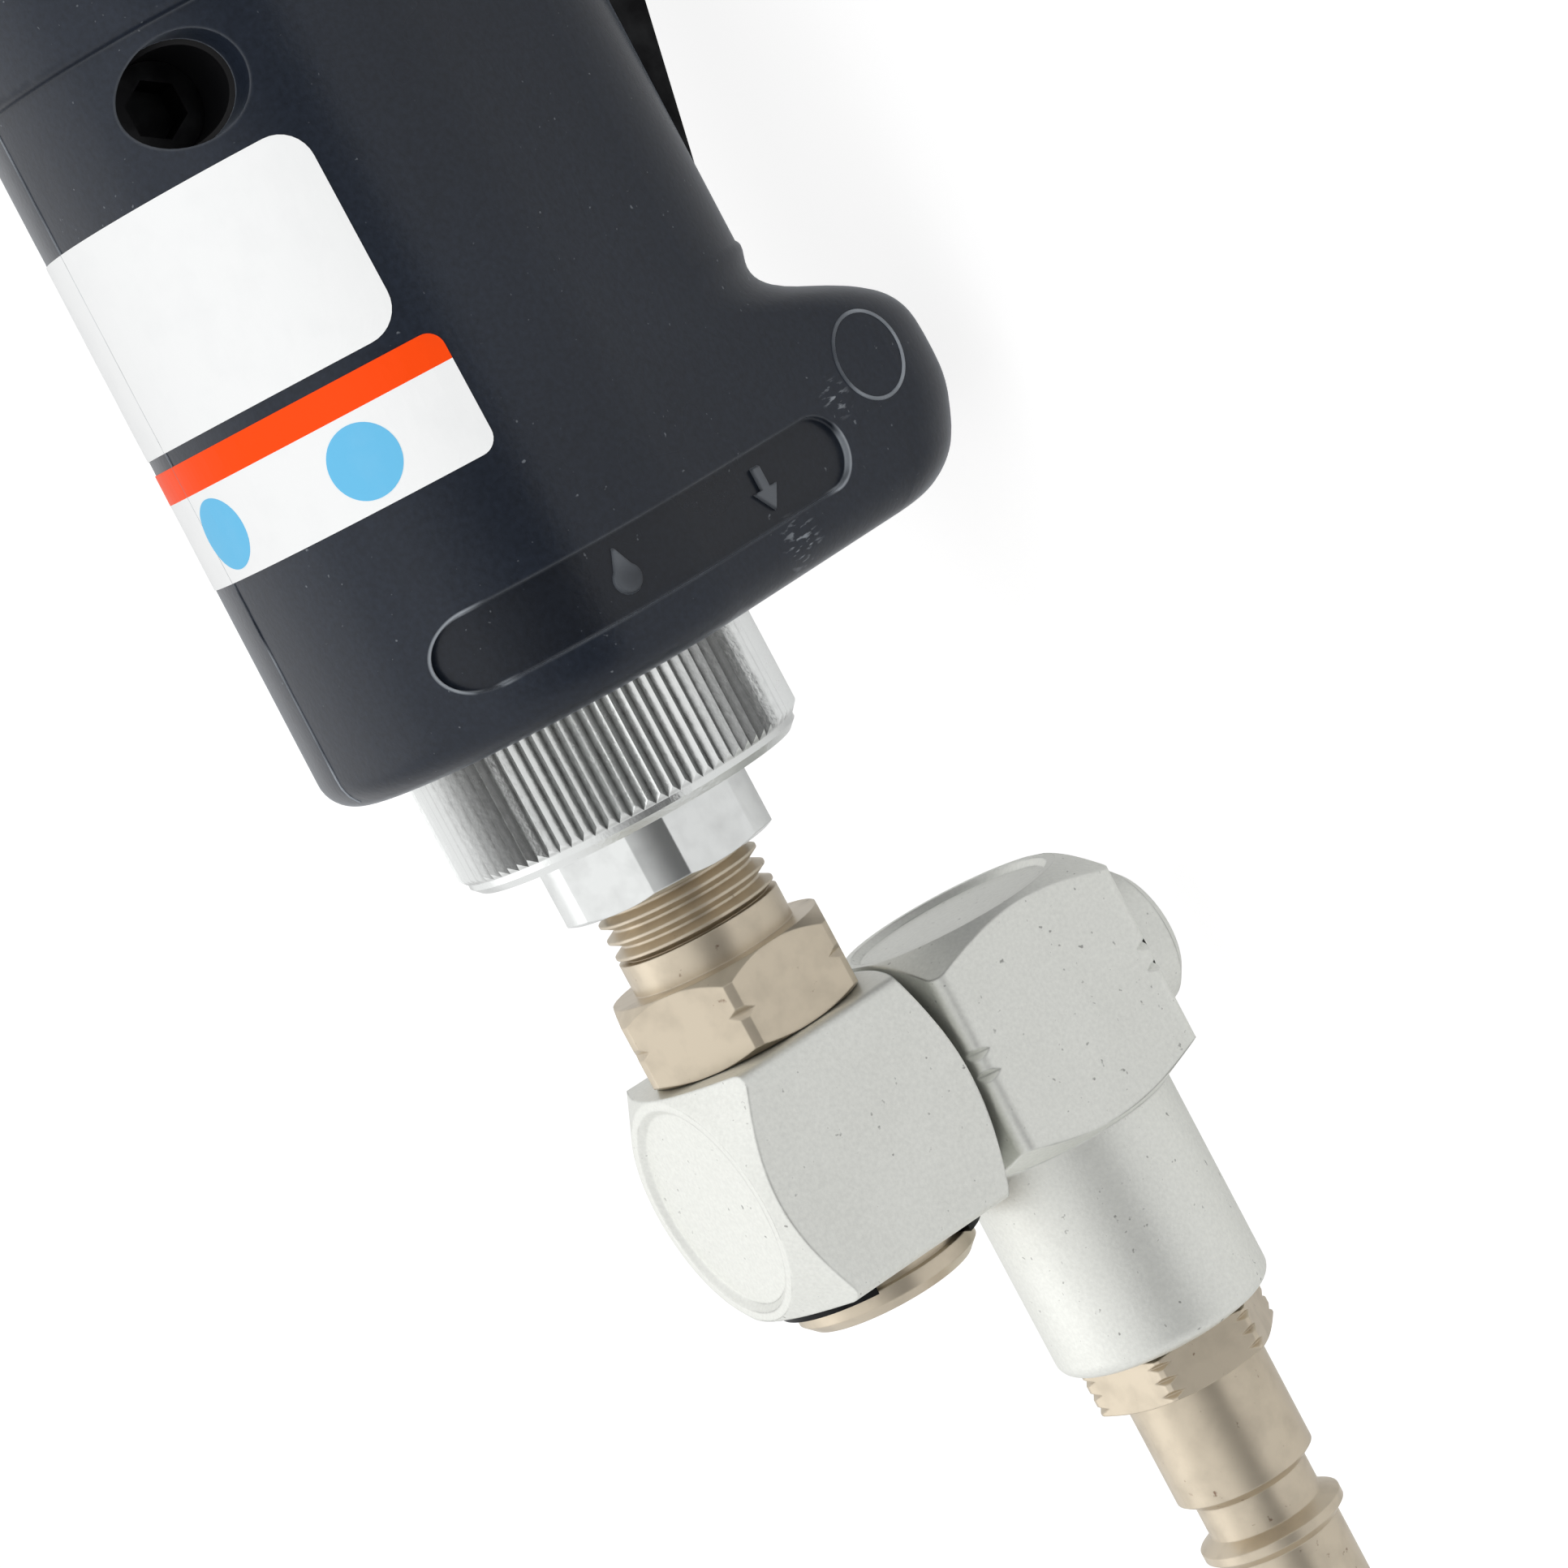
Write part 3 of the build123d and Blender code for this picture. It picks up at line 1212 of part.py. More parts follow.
# Blade clamp on the end of the rod
x_blade_rear = x_clamp_front - blade_slot_depth
x_clamp_screw = (x_blade_rear + x_clamp_front) / 2
with BuildPart() as blade_clamp:
    turned(band(x_clamp_rear, x_clamp_front, clamp_radius))
    chamfer(blade_clamp.edges().filter_by(GeomType.CIRCLE), plug_chamfer)
    turned(band(x_clamp_rear, x_rod_front, rod_radius + slip), mode=Mode.SUBTRACT)
    with BuildSketch(Plane.YZ.offset(x_blade_rear)):
        Rectangle(blade_thickness + 2 * slip, blade_width + 2 * slip)
    extrude(amount=blade_slot_depth, mode=Mode.SUBTRACT)
    for side in (-1, 1):
        screw_height = side * clamp_screw_spacing / 2
        side_bar(x_clamp_screw, screw_height, clamp_screw_radius + slip, 0, clamp_radius, Mode.SUBTRACT)
blade_clamp.part.label = "blade_clamp"
export_step(blade_clamp.part, "parts/blade_clamp.step")

with BuildPart() as clamp_screws:
    for side in (-1, 1):
        screw_height = side * clamp_screw_spacing / 2
        clamp_screw_top = math.sqrt(clamp_radius**2 - (clamp_screw_spacing / 2 + clamp_screw_radius) ** 2)
        side_bar(x_clamp_screw, screw_height, clamp_screw_radius, blade_thickness / 2, clamp_screw_top)
        with BuildSketch(Plane.XZ.offset(clamp_screw_top)):
            with Locations((x_clamp_screw, screw_height)):
                RegularPolygon(clamp_screw_radius / 2, 6, major_radius=False)
        extrude(amount=-clamp_screw_radius, mode=Mode.SUBTRACT)
clamp_screws.part.label = "clamp_screws"
export_step(clamp_screws.part, "parts/clamp_screws.step")

# Saw blade: a toothed strip with a slanted tip
with BuildPart() as saw_blade:
    half_blade = blade_width / 2
    x_first_tooth = x_sole + stroke / 2
    with BuildSketch(Plane.XZ):
        with BuildLine():
            blade_outline = [(x_blade_rear, half_blade), (x_blade_rear, -half_blade)]
            for tooth in range(tooth_count):
                foot = x_first_tooth + tooth * tooth_pitch
                blade_outline.append((foot, -half_blade))
                blade_outline.append((foot + tooth_pitch / 3, tooth_depth - half_blade))
            blade_outline.append((x_first_tooth + tooth_count * tooth_pitch, -half_blade))
            blade_outline.append((x_sole + blade_reach, half_blade - blade_tip_rise))
            blade_outline.append((x_sole + blade_reach - blade_tip_run, half_blade))
            Polyline(*blade_outline, close=True)
        make_face()
    extrude(amount=blade_thickness / 2, both=True)
saw_blade.part.label = "saw_blade"
export_step(saw_blade.part, "parts/saw_blade.step")

# Guide bracket: a slotted bar on the nose, with an eye for the shoe's pin
bracket_bottom = bracket_floor + slide_gap
bracket_top = bracket_bottom + bracket_thickness
with BuildPart() as guide_bracket:
    x_bracket_rear = x_nose_front - bracket_rear
    with BuildSketch(Plane.XY.offset(bracket_bottom)):
        with Locations((x_bracket_rear, 0)):
            Rectangle(x_shoe_pin - x_bracket_rear, bracket_width, align=(Align.MIN, Align.CENTER))
        slot_rear = x_bracket_screw - bracket_screw_radius - slide_gap - depth_forward
        slot_front = x_bracket_screw + bracket_screw_radius + slide_gap + depth_back
        with Locations(((slot_rear + slot_front) / 2, 0)):
            SlotOverall(slot_front - slot_rear, 2 * (bracket_screw_radius + slide_gap), mode=Mode.SUBTRACT)
    extrude(amount=bracket_thickness)
    side_bar(x_shoe_pin, z_shoe_pin, shoe_eye_radius, -bracket_width / 2, bracket_width / 2)
    side_bar(
        x_shoe_pin, z_shoe_pin, shoe_pin_radius + slip, -bracket_width / 2, bracket_width / 2, Mode.SUBTRACT
    )
guide_bracket.part.label = "guide_bracket"
export_step(guide_bracket.part, "parts/guide_bracket.step")

# Clamp screw and washer of the bracket
washer_bottom = bracket_top + slide_gap
washer_top = washer_bottom + bracket_washer_thickness
with BuildPart() as bracket_screw:
    turned_upright(
        upright_band(bracket_floor - bracket_screw_depth, washer_top, bracket_screw_radius), x_bracket_screw
    )
    bracket_screw_top = washer_top + bracket_screw_head_height
    turned_upright(upright_band(washer_top, bracket_screw_top, bracket_screw_head), x_bracket_screw)
    fillet(bracket_screw.edges().group_by(Axis.Z)[-1], bracket_screw_head_height / 2)
    with BuildSketch(Plane.XY.offset(bracket_screw_top)):
        with Locations((x_bracket_screw, 0)):
            RegularPolygon(bracket_screw_radius / 2, 6, major_radius=False)
    extrude(amount=-bracket_screw_head_height / 2, mode=Mode.SUBTRACT)
bracket_screw.part.label = "bracket_screw"
export_step(bracket_screw.part, "parts/bracket_screw.step")

with BuildPart() as bracket_washer:
    turned_upright(
        upright_band(washer_bottom, washer_top, bracket_washer_radius, bracket_screw_radius + slip),
        x_bracket_screw,
    )
bracket_washer.part.label = "bracket_washer"
export_step(bracket_washer.part, "parts/bracket_washer.step")

# Shoe: sole plate with an open blade slot, and two ears on the pin
shoe_top = z_shoe_pin + shoe_ear_radius
ear_inner = bracket_width / 2 + shoe_ear_gap
ear_outer = ear_inner + shoe_ear_thickness
with BuildPart() as shoe:
    with BuildSketch(Plane.YZ.offset(x_sole - shoe_thickness)):
        with Locations((0, (shoe_top - shoe_bottom) / 2)):
            RectangleRounded(shoe_width, shoe_top + shoe_bottom, shoe_corner)
        slot_length = shoe_slot_top + shoe_bottom
        with Locations((0, shoe_slot_top - slot_length / 2)):
            Rectangle(shoe_slot, slot_length, mode=Mode.SUBTRACT)
    extrude(amount=shoe_thickness)
    for side in (-1, 1):
        with BuildSketch(Plane.XZ.offset(side * ear_inner)):
            with Locations((x_shoe_pin, z_shoe_pin)):
                Circle(shoe_ear_radius)
                Rectangle(shoe_pin_setback, 2 * shoe_ear_radius, align=(Align.MIN, Align.CENTER))
        extrude(amount=side * shoe_ear_thickness)
    side_bar(x_shoe_pin, z_shoe_pin, shoe_pin_radius + slip, -ear_outer, ear_outer, Mode.SUBTRACT)
shoe.part.label = "shoe"
export_step(shoe.part, "parts/shoe.step")

# Shoe pin with a clip at each end
clip_inner = ear_outer + slide_gap
clip_outer = clip_inner + shoe_clip_thickness
shoe_clip_floor = shoe_pin_radius - clip_grip
with BuildPart() as shoe_pin:
    pin_half = clip_outer + shoe_pin_tail
    side_bar(x_shoe_pin, z_shoe_pin, shoe_pin_radius, -pin_half, pin_half)
    for side in (-1, 1):
        with BuildSketch(Plane.XZ.offset(side * clip_inner)):
            with Locations((x_shoe_pin, z_shoe_pin)):
                Circle(shoe_pin_radius)
                Circle(shoe_clip_floor, mode=Mode.SUBTRACT)
        extrude(amount=side * shoe_clip_thickness, mode=Mode.SUBTRACT)
shoe_pin.part.label = "shoe_pin"
export_step(shoe_pin.part, "parts/shoe_pin.step")

with BuildPart() as shoe_clips:
    for side in (-1, 1):
        with BuildSketch(Plane.XZ.offset(side * clip_inner)):
            with Locations((x_shoe_pin, z_shoe_pin)):
                Circle(shoe_clip_radius)
                Circle(shoe_clip_floor + slip, mode=Mode.SUBTRACT)
            with Locations((x_shoe_pin, z_shoe_pin - shoe_clip_radius)):
                Rectangle(shoe_pin_radius, 2 * shoe_clip_radius, mode=Mode.SUBTRACT)
        extrude(amount=side * shoe_clip_thickness)
shoe_clips.part.label = "shoe_clips"
export_step(shoe_clips.part, "parts/shoe_clips.step")
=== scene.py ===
"""Finishes, stickers and moulded marks of an in-line air saw, with its studio."""

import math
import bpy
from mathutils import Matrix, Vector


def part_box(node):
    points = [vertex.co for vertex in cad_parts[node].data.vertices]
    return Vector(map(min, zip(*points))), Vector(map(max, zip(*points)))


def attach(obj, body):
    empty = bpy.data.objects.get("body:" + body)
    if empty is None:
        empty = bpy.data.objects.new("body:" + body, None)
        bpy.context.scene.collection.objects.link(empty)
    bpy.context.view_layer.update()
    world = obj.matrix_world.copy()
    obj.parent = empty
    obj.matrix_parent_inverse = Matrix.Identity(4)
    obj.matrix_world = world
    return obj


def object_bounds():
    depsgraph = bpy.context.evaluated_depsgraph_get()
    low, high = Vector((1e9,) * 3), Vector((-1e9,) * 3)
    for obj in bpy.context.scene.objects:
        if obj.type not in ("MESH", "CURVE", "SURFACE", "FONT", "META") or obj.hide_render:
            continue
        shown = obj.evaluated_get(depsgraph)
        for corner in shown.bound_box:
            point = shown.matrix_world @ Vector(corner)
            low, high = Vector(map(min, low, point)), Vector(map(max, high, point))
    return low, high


bl_info = {
    "name": "Air saw finishes",
    "version": (1, 0, 0),
    "blender": (4, 5, 0),
    "location": "View3D > Sidebar > Air saw",
    "description": "Dresses an in-line air saw with its finishes, stickers and moulded marks",
    "category": "Object",
}

import bmesh
import bpy
from bpy.props import FloatProperty, FloatVectorProperty, IntProperty, PointerProperty
from bpy.types import NodeSocket, Operator, Panel, PropertyGroup
from mathutils import Matrix, Vector
from mathutils.bvhtree import BVHTree

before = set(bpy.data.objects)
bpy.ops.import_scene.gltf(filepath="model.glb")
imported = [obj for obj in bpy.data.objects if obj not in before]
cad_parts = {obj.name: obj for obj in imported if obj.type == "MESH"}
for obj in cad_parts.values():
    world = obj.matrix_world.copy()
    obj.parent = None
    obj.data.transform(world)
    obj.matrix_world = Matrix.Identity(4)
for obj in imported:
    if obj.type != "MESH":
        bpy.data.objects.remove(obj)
cad_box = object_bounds()

MM = 0.001

# Rays that look for the grip start this far from the tool's axis
FAR_OUT = 60 * MM

# Sockets of a Mix node that mixes colours
FACTOR, UNDER, OVER = 0, 6, 7
MIXED = 2

# Sockets of a Mix node that mixes plain numbers
SHARE, LESS, MORE = 0, 2, 3

# Steps of a sticker's rows at a rounded corner and between the corners, and of its columns
CORNER_STEPS = 8
ROW_STEPS = 8
COLUMN_STEPS = 96

# A sticker's depth and a disc's lift as shares of the sticker's lift, and a disc's depth as one of its own
STICKER_DEPTH = 1.6
DISC_LIFT = 1.25
DISC_DEPTH = 0.6

# Scuffed patches on the grip, as their middles and radii
SCUFFS = (
    ((-0.1918, -0.0160, -0.0143), 2.6 * MM),
    ((-0.1840, -0.0130, -0.0239), 1.8 * MM),
)


def linear(hex_colour):
    """sRGB hex value as a linear colour with full alpha."""
    values = [int(hex_colour[place : place + 2], 16) / 255 for place in (1, 3, 5)]
    return (*(v / 12.92 if v <= 0.04045 else ((v + 0.055) / 1.055) ** 2.4 for v in values), 1.0)


def colour_property(name, description, hex_colour):
    """A colour that a user may change."""
    return FloatVectorProperty(
        name=name, description=description, subtype="COLOR", size=4, min=0.0, max=1.0,
        default=linear(hex_colour),
    )


def length_property(name, description, millimetres):
    """A length that a user may change."""
    return FloatProperty(
        name=name, description=description, unit="LENGTH", precision=5, default=millimetres * MM
    )


def angle_property(name, description, degrees):
    """An angle that a user may change."""
    return FloatProperty(name=name, description=description, subtype="ANGLE", default=math.radians(degrees))


class AirSawColours(PropertyGroup):
    """Colours of the finishes."""

    grip_dark: colour_property("Grip, dark", "Composite in its darker clouds", "#171c25")
    grip_light: colour_property("Grip, light", "Composite in its lighter clouds", "#202733")
    grip_sheen: colour_property("Grip, sheen", "Soft light along the composite's turned edges", "#c3cddb")
    # Also the painted highlight along the grip's edges
    grip_scuff_and_highlight: colour_property(
        "Grip, scuffed and highlit", "Composite where it is dusty, scuffed or has flash", "#9aa0a7"
    )
    aluminium: colour_property("Aluminium", "Turned aluminium", "#e5e7e6")
    # Soil on metal and in the nickel's pits; also darkens the knurl's grooves, and is the painted shade along
    # the nickel's edges
    soil_and_painted_shade: colour_property("Soil and painted shade", "Soil, dark knurl grooves and painted edge shade", "#2b2623")
    satin_nickel: colour_property("Satin nickel", "Blasted and plated castings", "#ecede8")
    warm_nickel: colour_property("Warm nickel", "Bright plated turnings", "#cfc3af")
    rust: colour_property("Rust", "Small spots in worn plating", "#6b4630")
    # Black is also the painted shade on the floor of the grip's recess
    black: colour_property("Black oxide", "Blackened steel", "#0d0d0f")
    steel: colour_property("Ground steel", "Bare ground steel", "#b7babd")
    blade: colour_property("Blade steel", "Rolled and tempered blade", "#85898e")
    brass: colour_property("Brass", "Turned brass", "#c8a35a")
    rubber: colour_property("Rubber", "Nitrile rubber", "#17171a")
    vinyl_white: colour_property("Sticker, white", "White vinyl", "#f3f4f4")
    vinyl_orange: colour_property("Sticker, orange", "Orange print", "#ff4a00")
    vinyl_blue: colour_property("Sticker, blue", "Blue print", "#6cc0ea")


class AirSawMarks(PropertyGroup):
    """Sizes and places of stickers and moulded marks on the grip."""

    sticker_lift: length_property("Sticker lift", "Thickness of a sticker", 0.1)
    sticker_corner: length_property("Sticker corner", "Corner radius of the stickers", 2.6)
    plate_front: length_property("Plain sticker, front", "Front edge of the plain sticker", -149.0)
    plate_rear: length_property("Plain sticker, rear", "Rear edge of the plain sticker", -164.7)
    plate_reach: angle_property("Plain sticker, reach", "How far it goes round to each side", 70.5)
    band_front: length_property("Band sticker, front", "Front edge of the banded sticker", -165.8)
    band_edge: length_property("Band sticker, band", "Rear edge of its orange band", -168.2)
    band_rear: length_property("Band sticker, rear", "Rear edge of the banded sticker", -175.1)
    band_corner: length_property("Band sticker, corner", "Corner radius of the banded sticker", 1.3)
    band_reach: angle_property("Band sticker, reach", "How far it goes round to each side", 75.8)
    disc_station: length_property("Disc station", "Middle of the printed discs along the grip", -171.65)
    disc_radius: length_property("Disc radius", "Radius of a printed disc", 2.75)
    disc_first: angle_property("First disc", "Place of the first disc round from the back", 49.8)
    disc_step: angle_property("Disc step", "Angle between discs", 42.3)
    disc_count: IntProperty(name="Discs", description="Printed discs on the banded sticker", default=3)
    recess_station: length_property("Recess station", "Middle line of the moulded recess", -186.9)
    recess_middle: length_property("Recess middle", "Middle of the moulded recess across the grip", -4.0)
    recess_half: length_property("Recess reach", "Half of the straight part of the recess", 15.85)
    recess_radius: length_property("Recess radius", "Half of the recess's width", 2.85)
    arrow_height: length_property("Arrow height", "Place of the arrow across the grip", -13.7)
    drop_height: length_property("Drop height", "Place of the drop across the grip", 1.0)
    mark_lift: length_property("Mark lift", "Height of a raised mark", 0.35)
    bead_radius: length_property("Bead radius", "Radius of the moulding beads", 0.11)
    bead_sides: IntProperty(name="Bead sides", description="Sides of a moulding bead", default=8)
    ejector_radius: length_property("Ejector radius", "Radius of the ejector pin's ring", 3.4)
    ejector_place: FloatVectorProperty(
        name="Ejector place", description="Middle of the ejector pin's ring", subtype="XYZ", unit="LENGTH",
        default=(-0.1825, 0.0, -0.0290),
    )


class AirSawView(PropertyGroup):
    """Where the camera stands, and the light of the studio."""

    aim: FloatVectorProperty(
        name="Aim", description="Point in the middle of the picture", subtype="XYZ", unit="LENGTH",
        default=(-0.20753, -0.00450, -0.00953),
    )
    rise: angle_property("Rise", "Turn of the camera about the tool, from its right side to its back", 26.58)
    lead: angle_property("Lead", "Turn of the camera towards the blade", 7.0)
    slant: angle_property("Slant", "Direction of the air inlet in the picture, down from the right", 61.98)
    distance: length_property("Distance", "Camera to the aim", 339.07)
    lens: FloatProperty(name="Lens", description="Focal length on a 36 mm sensor", default=104.94)
    key_light: FloatProperty(
        name="Key light", description="Soft lamp from the left", unit="POWER", default=4.8
    )
    fill_light: FloatProperty(
        name="Fill light", description="Soft lamp from the right", unit="POWER", default=0.5
    )
    room_light: FloatProperty(name="Room light", description="Even light from all round", default=0.54)
    room_dim: FloatProperty(
        name="Room, dim side", description="Room behind the camera, seen in metal", default=0.16
    )
    window_light: FloatProperty(
        name="Window", description="Window high behind the saw, seen in gloss", default=1.6
    )
    room_right: FloatProperty(
        name="Room, right side", description="Room on the right, seen in metal", default=0.55
    )
    floor_glow: FloatProperty(name="Floor glow", description="Light that keeps the floor white", default=0.78)


def put(tree, kind, inputs=None, **settings):
    """Add one node. Inputs are values or the sockets that feed them; settings are its properties."""
    node = tree.nodes.new(kind)
    for name, value in settings.items():
        setattr(node, name, value)
    for name, value in (inputs or {}).items():
        if isinstance(value, NodeSocket):
            tree.links.new(value, node.inputs[name])
        else:
            node.inputs[name].default_value = value
    return node


def new_material(name):
    """An empty material with its node tree and the Object coordinates."""
    material = bpy.data.materials.new(name)
    material.use_nodes = True
    tree = material.node_tree
    tree.nodes.clear()
    place = put(tree, "ShaderNodeTexCoord").outputs["Object"]
    return material, tree, place


def close_material(tree, **inputs):
    """Send a principled shader with these inputs to the material's output."""
    named = {name.replace("_", " "): value for name, value in inputs.items()}
    shader = put(tree, "ShaderNodeBsdfPrincipled", named)
    put(tree, "ShaderNodeOutputMaterial", {"Surface": shader.outputs[0]})


def per_size(millimetres):
    """Texture scale whose pattern repeats about once in a real size."""
    return 1.0 / (millimetres * MM)


def edge_turn(tree, rounded):
    """How well a rounded edge's direction agrees with the face's: 1 on a flat face, less at an edge."""
    facing = put(tree, "ShaderNodeNewGeometry").outputs["Normal"]
    return put(
        tree, "ShaderNodeVectorMath", {0: rounded, 1: facing}, operation="DOT_PRODUCT"
    ).outputs["Value"]


def recess_shade_and_flash(tree, place, drift, marks):
    """Shares of the painted shade on the recess's floor, on the grip's right side, and of the broken flash at
    the ends of its edge.
    """
    spot = put(tree, "ShaderNodeSeparateXYZ", {"Vector": place}).outputs
    low_end = marks.recess_middle - marks.recess_half
    high_end = marks.recess_middle + marks.recess_half
    nearest = put(
        tree, "ShaderNodeClamp", {"Value": spot["Z"], "Min": low_end, "Max": high_end}
    ).outputs[0]
    spine = put(
        tree, "ShaderNodeCombineXYZ", {"X": marks.recess_station, "Y": spot["Y"], "Z": nearest}
    ).outputs[0]
    off_spine = put(
        tree, "ShaderNodeVectorMath", {0: place, 1: spine}, operation="DISTANCE"
    ).outputs["Value"]
    right_side = put(tree, "ShaderNodeMath", {0: spot["Y"], 1: 0.0}, operation="LESS_THAN").outputs[0]
    rim = marks.recess_radius
    # Painted shade, strongest well inside the recess's rim
    floor = put(
        tree, "ShaderNodeMapRange",
        {"Value": off_spine, "From Min": rim, "From Max": rim * 0.8, "To Max": 0.4},
    ).outputs[0]
    floor = put(tree, "ShaderNodeMath", {0: floor, 1: right_side}, operation="MULTIPLY").outputs[0]

    off_rim = put(tree, "ShaderNodeMath", {0: off_spine, 1: rim}, operation="SUBTRACT").outputs[0]
    off_rim = put(tree, "ShaderNodeMath", {0: off_rim}, operation="ABSOLUTE").outputs[0]
    flash = put(
        tree, "ShaderNodeMapRange", {"Value": off_rim, "From Min": 0.22 * MM, "From Max": 0.08 * MM}
    ).outputs[0]
    broken = put(
        tree, "ShaderNodeMapRange", {"Value": drift, "From Min": 0.42, "From Max": 0.52}
    ).outputs[0]
    along = put(
        tree, "ShaderNodeMath", {0: spot["Z"], 1: marks.recess_middle}, operation="SUBTRACT"
    ).outputs[0]
    along = put(tree, "ShaderNodeMath", {0: along}, operation="ABSOLUTE").outputs[0]
    half = marks.recess_half
    at_end = put(
        tree, "ShaderNodeMapRange", {"Value": along, "From Min": half * 0.9, "From Max": half}
    ).outputs[0]
    for share in (broken, right_side, at_end):
        flash = put(tree, "ShaderNodeMath", {0: flash, 1: share}, operation="MULTIPLY").outputs[0]
    return floor, flash


def dust_share(tree, place, drift):
    """Share of dust, in specks of about a quarter millimetre, thicker in some places than in others."""
    dust = put(
        tree, "ShaderNodeTexNoise", {"Vector": place, "Scale": per_size(0.45), "Detail": 1.0}
    ).outputs[0]
    level = put(tree, "ShaderNodeMath", {0: drift, 1: 0.22}, operation="MULTIPLY").outputs[0]
    raised = put(tree, "ShaderNodeMath", {0: dust, 1: level}, operation="ADD").outputs[0]
    specks = put(
        tree, "ShaderNodeMapRange", {"Value": raised, "From Min": 0.88, "From Max": 0.95}
    ).outputs[0]
    return put(tree, "ShaderNodeMath", {0: specks, 1: 0.35}, operation="MULTIPLY").outputs[0]


def scuff_shares(tree, place):
    """Shares of the scuffs beside the recess and on the hook, fine scratches within small round patches."""
    stretched = put(
        tree, "ShaderNodeMapping",
        {
            "Vector": place, "Rotation": (0.0, 0.5, 0.3),
            "Scale": (per_size(0.3), per_size(2.5), per_size(1.2)),
        },
    ).outputs[0]
    scratches = put(
        tree, "ShaderNodeTexNoise", {"Vector": stretched, "Scale": 1.0, "Detail": 3.0}
    ).outputs[0]
    torn = put(
        tree, "ShaderNodeMapRange", {"Value": scratches, "From Min": 0.56, "From Max": 0.66}
    ).outputs[0]
    shares = []
    for centre, reach in SCUFFS:
        away = put(
            tree, "ShaderNodeVectorMath", {0: place, 1: centre}, operation="DISTANCE"
        ).outputs["Value"]
        near = put(
            tree, "ShaderNodeMapRange", {"Value": away, "From Min": reach, "From Max": 0.0, "To Max": 0.9}
        ).outputs[0]
        shares.append(put(tree, "ShaderNodeMath", {0: near, 1: torn}, operation="MULTIPLY").outputs[0])
    return shares


def moulded_composite(colours, marks, name="moulded glass-filled nylon", pale=0.0):
    """Glass-filled nylon, moulded: matte slate grey in soft clouds, fine grain, pale dust, edges paler from
    rubbing and from a painted highlight.
    """
    material, tree, place = new_material(name)
    cloud = put(
        tree, "ShaderNodeTexNoise", {"Vector": place, "Scale": per_size(24), "Detail": 3.0}
    ).outputs[0]
    tone = put(
        tree, "ShaderNodeMix", {FACTOR: cloud, UNDER: colours.grip_dark, OVER: colours.grip_light},
        data_type="RGBA",
    ).outputs[MIXED]

    # Mottle of the moulded grain, half a millimetre across
    grain = put(
        tree, "ShaderNodeTexNoise", {"Vector": place, "Scale": per_size(0.42), "Detail": 2.0}
    ).outputs[0]
    mottle = put(tree, "ShaderNodeMapRange", {"Value": grain, "To Min": 0.55, "To Max": 1.45}).outputs[0]
    tone = put(tree, "ShaderNodeVectorMath", {0: tone, "Scale": mottle}, operation="SCALE").outputs[0]

    # Painted shade: the recess's floor is darkened towards black on the grip's right side
    drift = put(
        tree, "ShaderNodeTexNoise", {"Vector": place, "Scale": per_size(7), "Detail": 2.0}
    ).outputs[0]
    floor, flash = recess_shade_and_flash(tree, place, drift, marks)
    tone = put(
        tree, "ShaderNodeMix", {FACTOR: floor, UNDER: tone, OVER: colours.black}, data_type="RGBA"
    ).outputs[MIXED]

    # Paler all over on a small raised mark; elsewhere paler in dust, flash and scuffs, and along edges, where
    # rubbed wear and a painted highlight are mixed
    rounded = put(tree, "ShaderNodeBevel", {"Radius": 0.35 * MM}, samples=6).outputs["Normal"]
    if pale:
        marked = put(
            tree, "ShaderNodeMapRange", {"Value": drift, "From Min": 0.3, "From Max": 0.6, "To Max": pale}
        ).outputs[0]
    else:
        # Painted highlight along the edges, mixed with rubbed wear, in patches
        edge = put(
            tree, "ShaderNodeMapRange",
            {"Value": edge_turn(tree, rounded), "From Min": 0.985, "From Max": 0.80, "To Max": 0.35},
        ).outputs[0]
        rubbed = put(tree, "ShaderNodeMath", {0: edge, 1: drift}, operation="MULTIPLY").outputs[0]
        marked = dust_share(tree, place, drift)
        for share in (rubbed, flash, *scuff_shares(tree, place)):
            marked = put(tree, "ShaderNodeMath", {0: marked, 1: share}, operation="MAXIMUM").outputs[0]
    colour = put(
        tree, "ShaderNodeMix", {FACTOR: marked, UNDER: tone, OVER: colours.grip_scuff_and_highlight}, data_type="RGBA"
    ).outputs[MIXED]

    normal = put(
        tree, "ShaderNodeBump", {"Strength": 0.3, "Distance": 0.05 * MM, "Height": grain, "Normal": rounded}
    ).outputs[0]
    rough = put(tree, "ShaderNodeMapRange", {"Value": cloud, "To Min": 0.24, "To Max": 0.34}).outputs[0]
    close_material(
        tree, Base_Color=colour, Roughness=rough, Normal=normal, IOR=1.53, Specular_IOR_Level=0.3,
        Sheen_Weight=0.35, Sheen_Roughness=0.25, Sheen_Tint=colours.grip_sheen,
    )
    return material


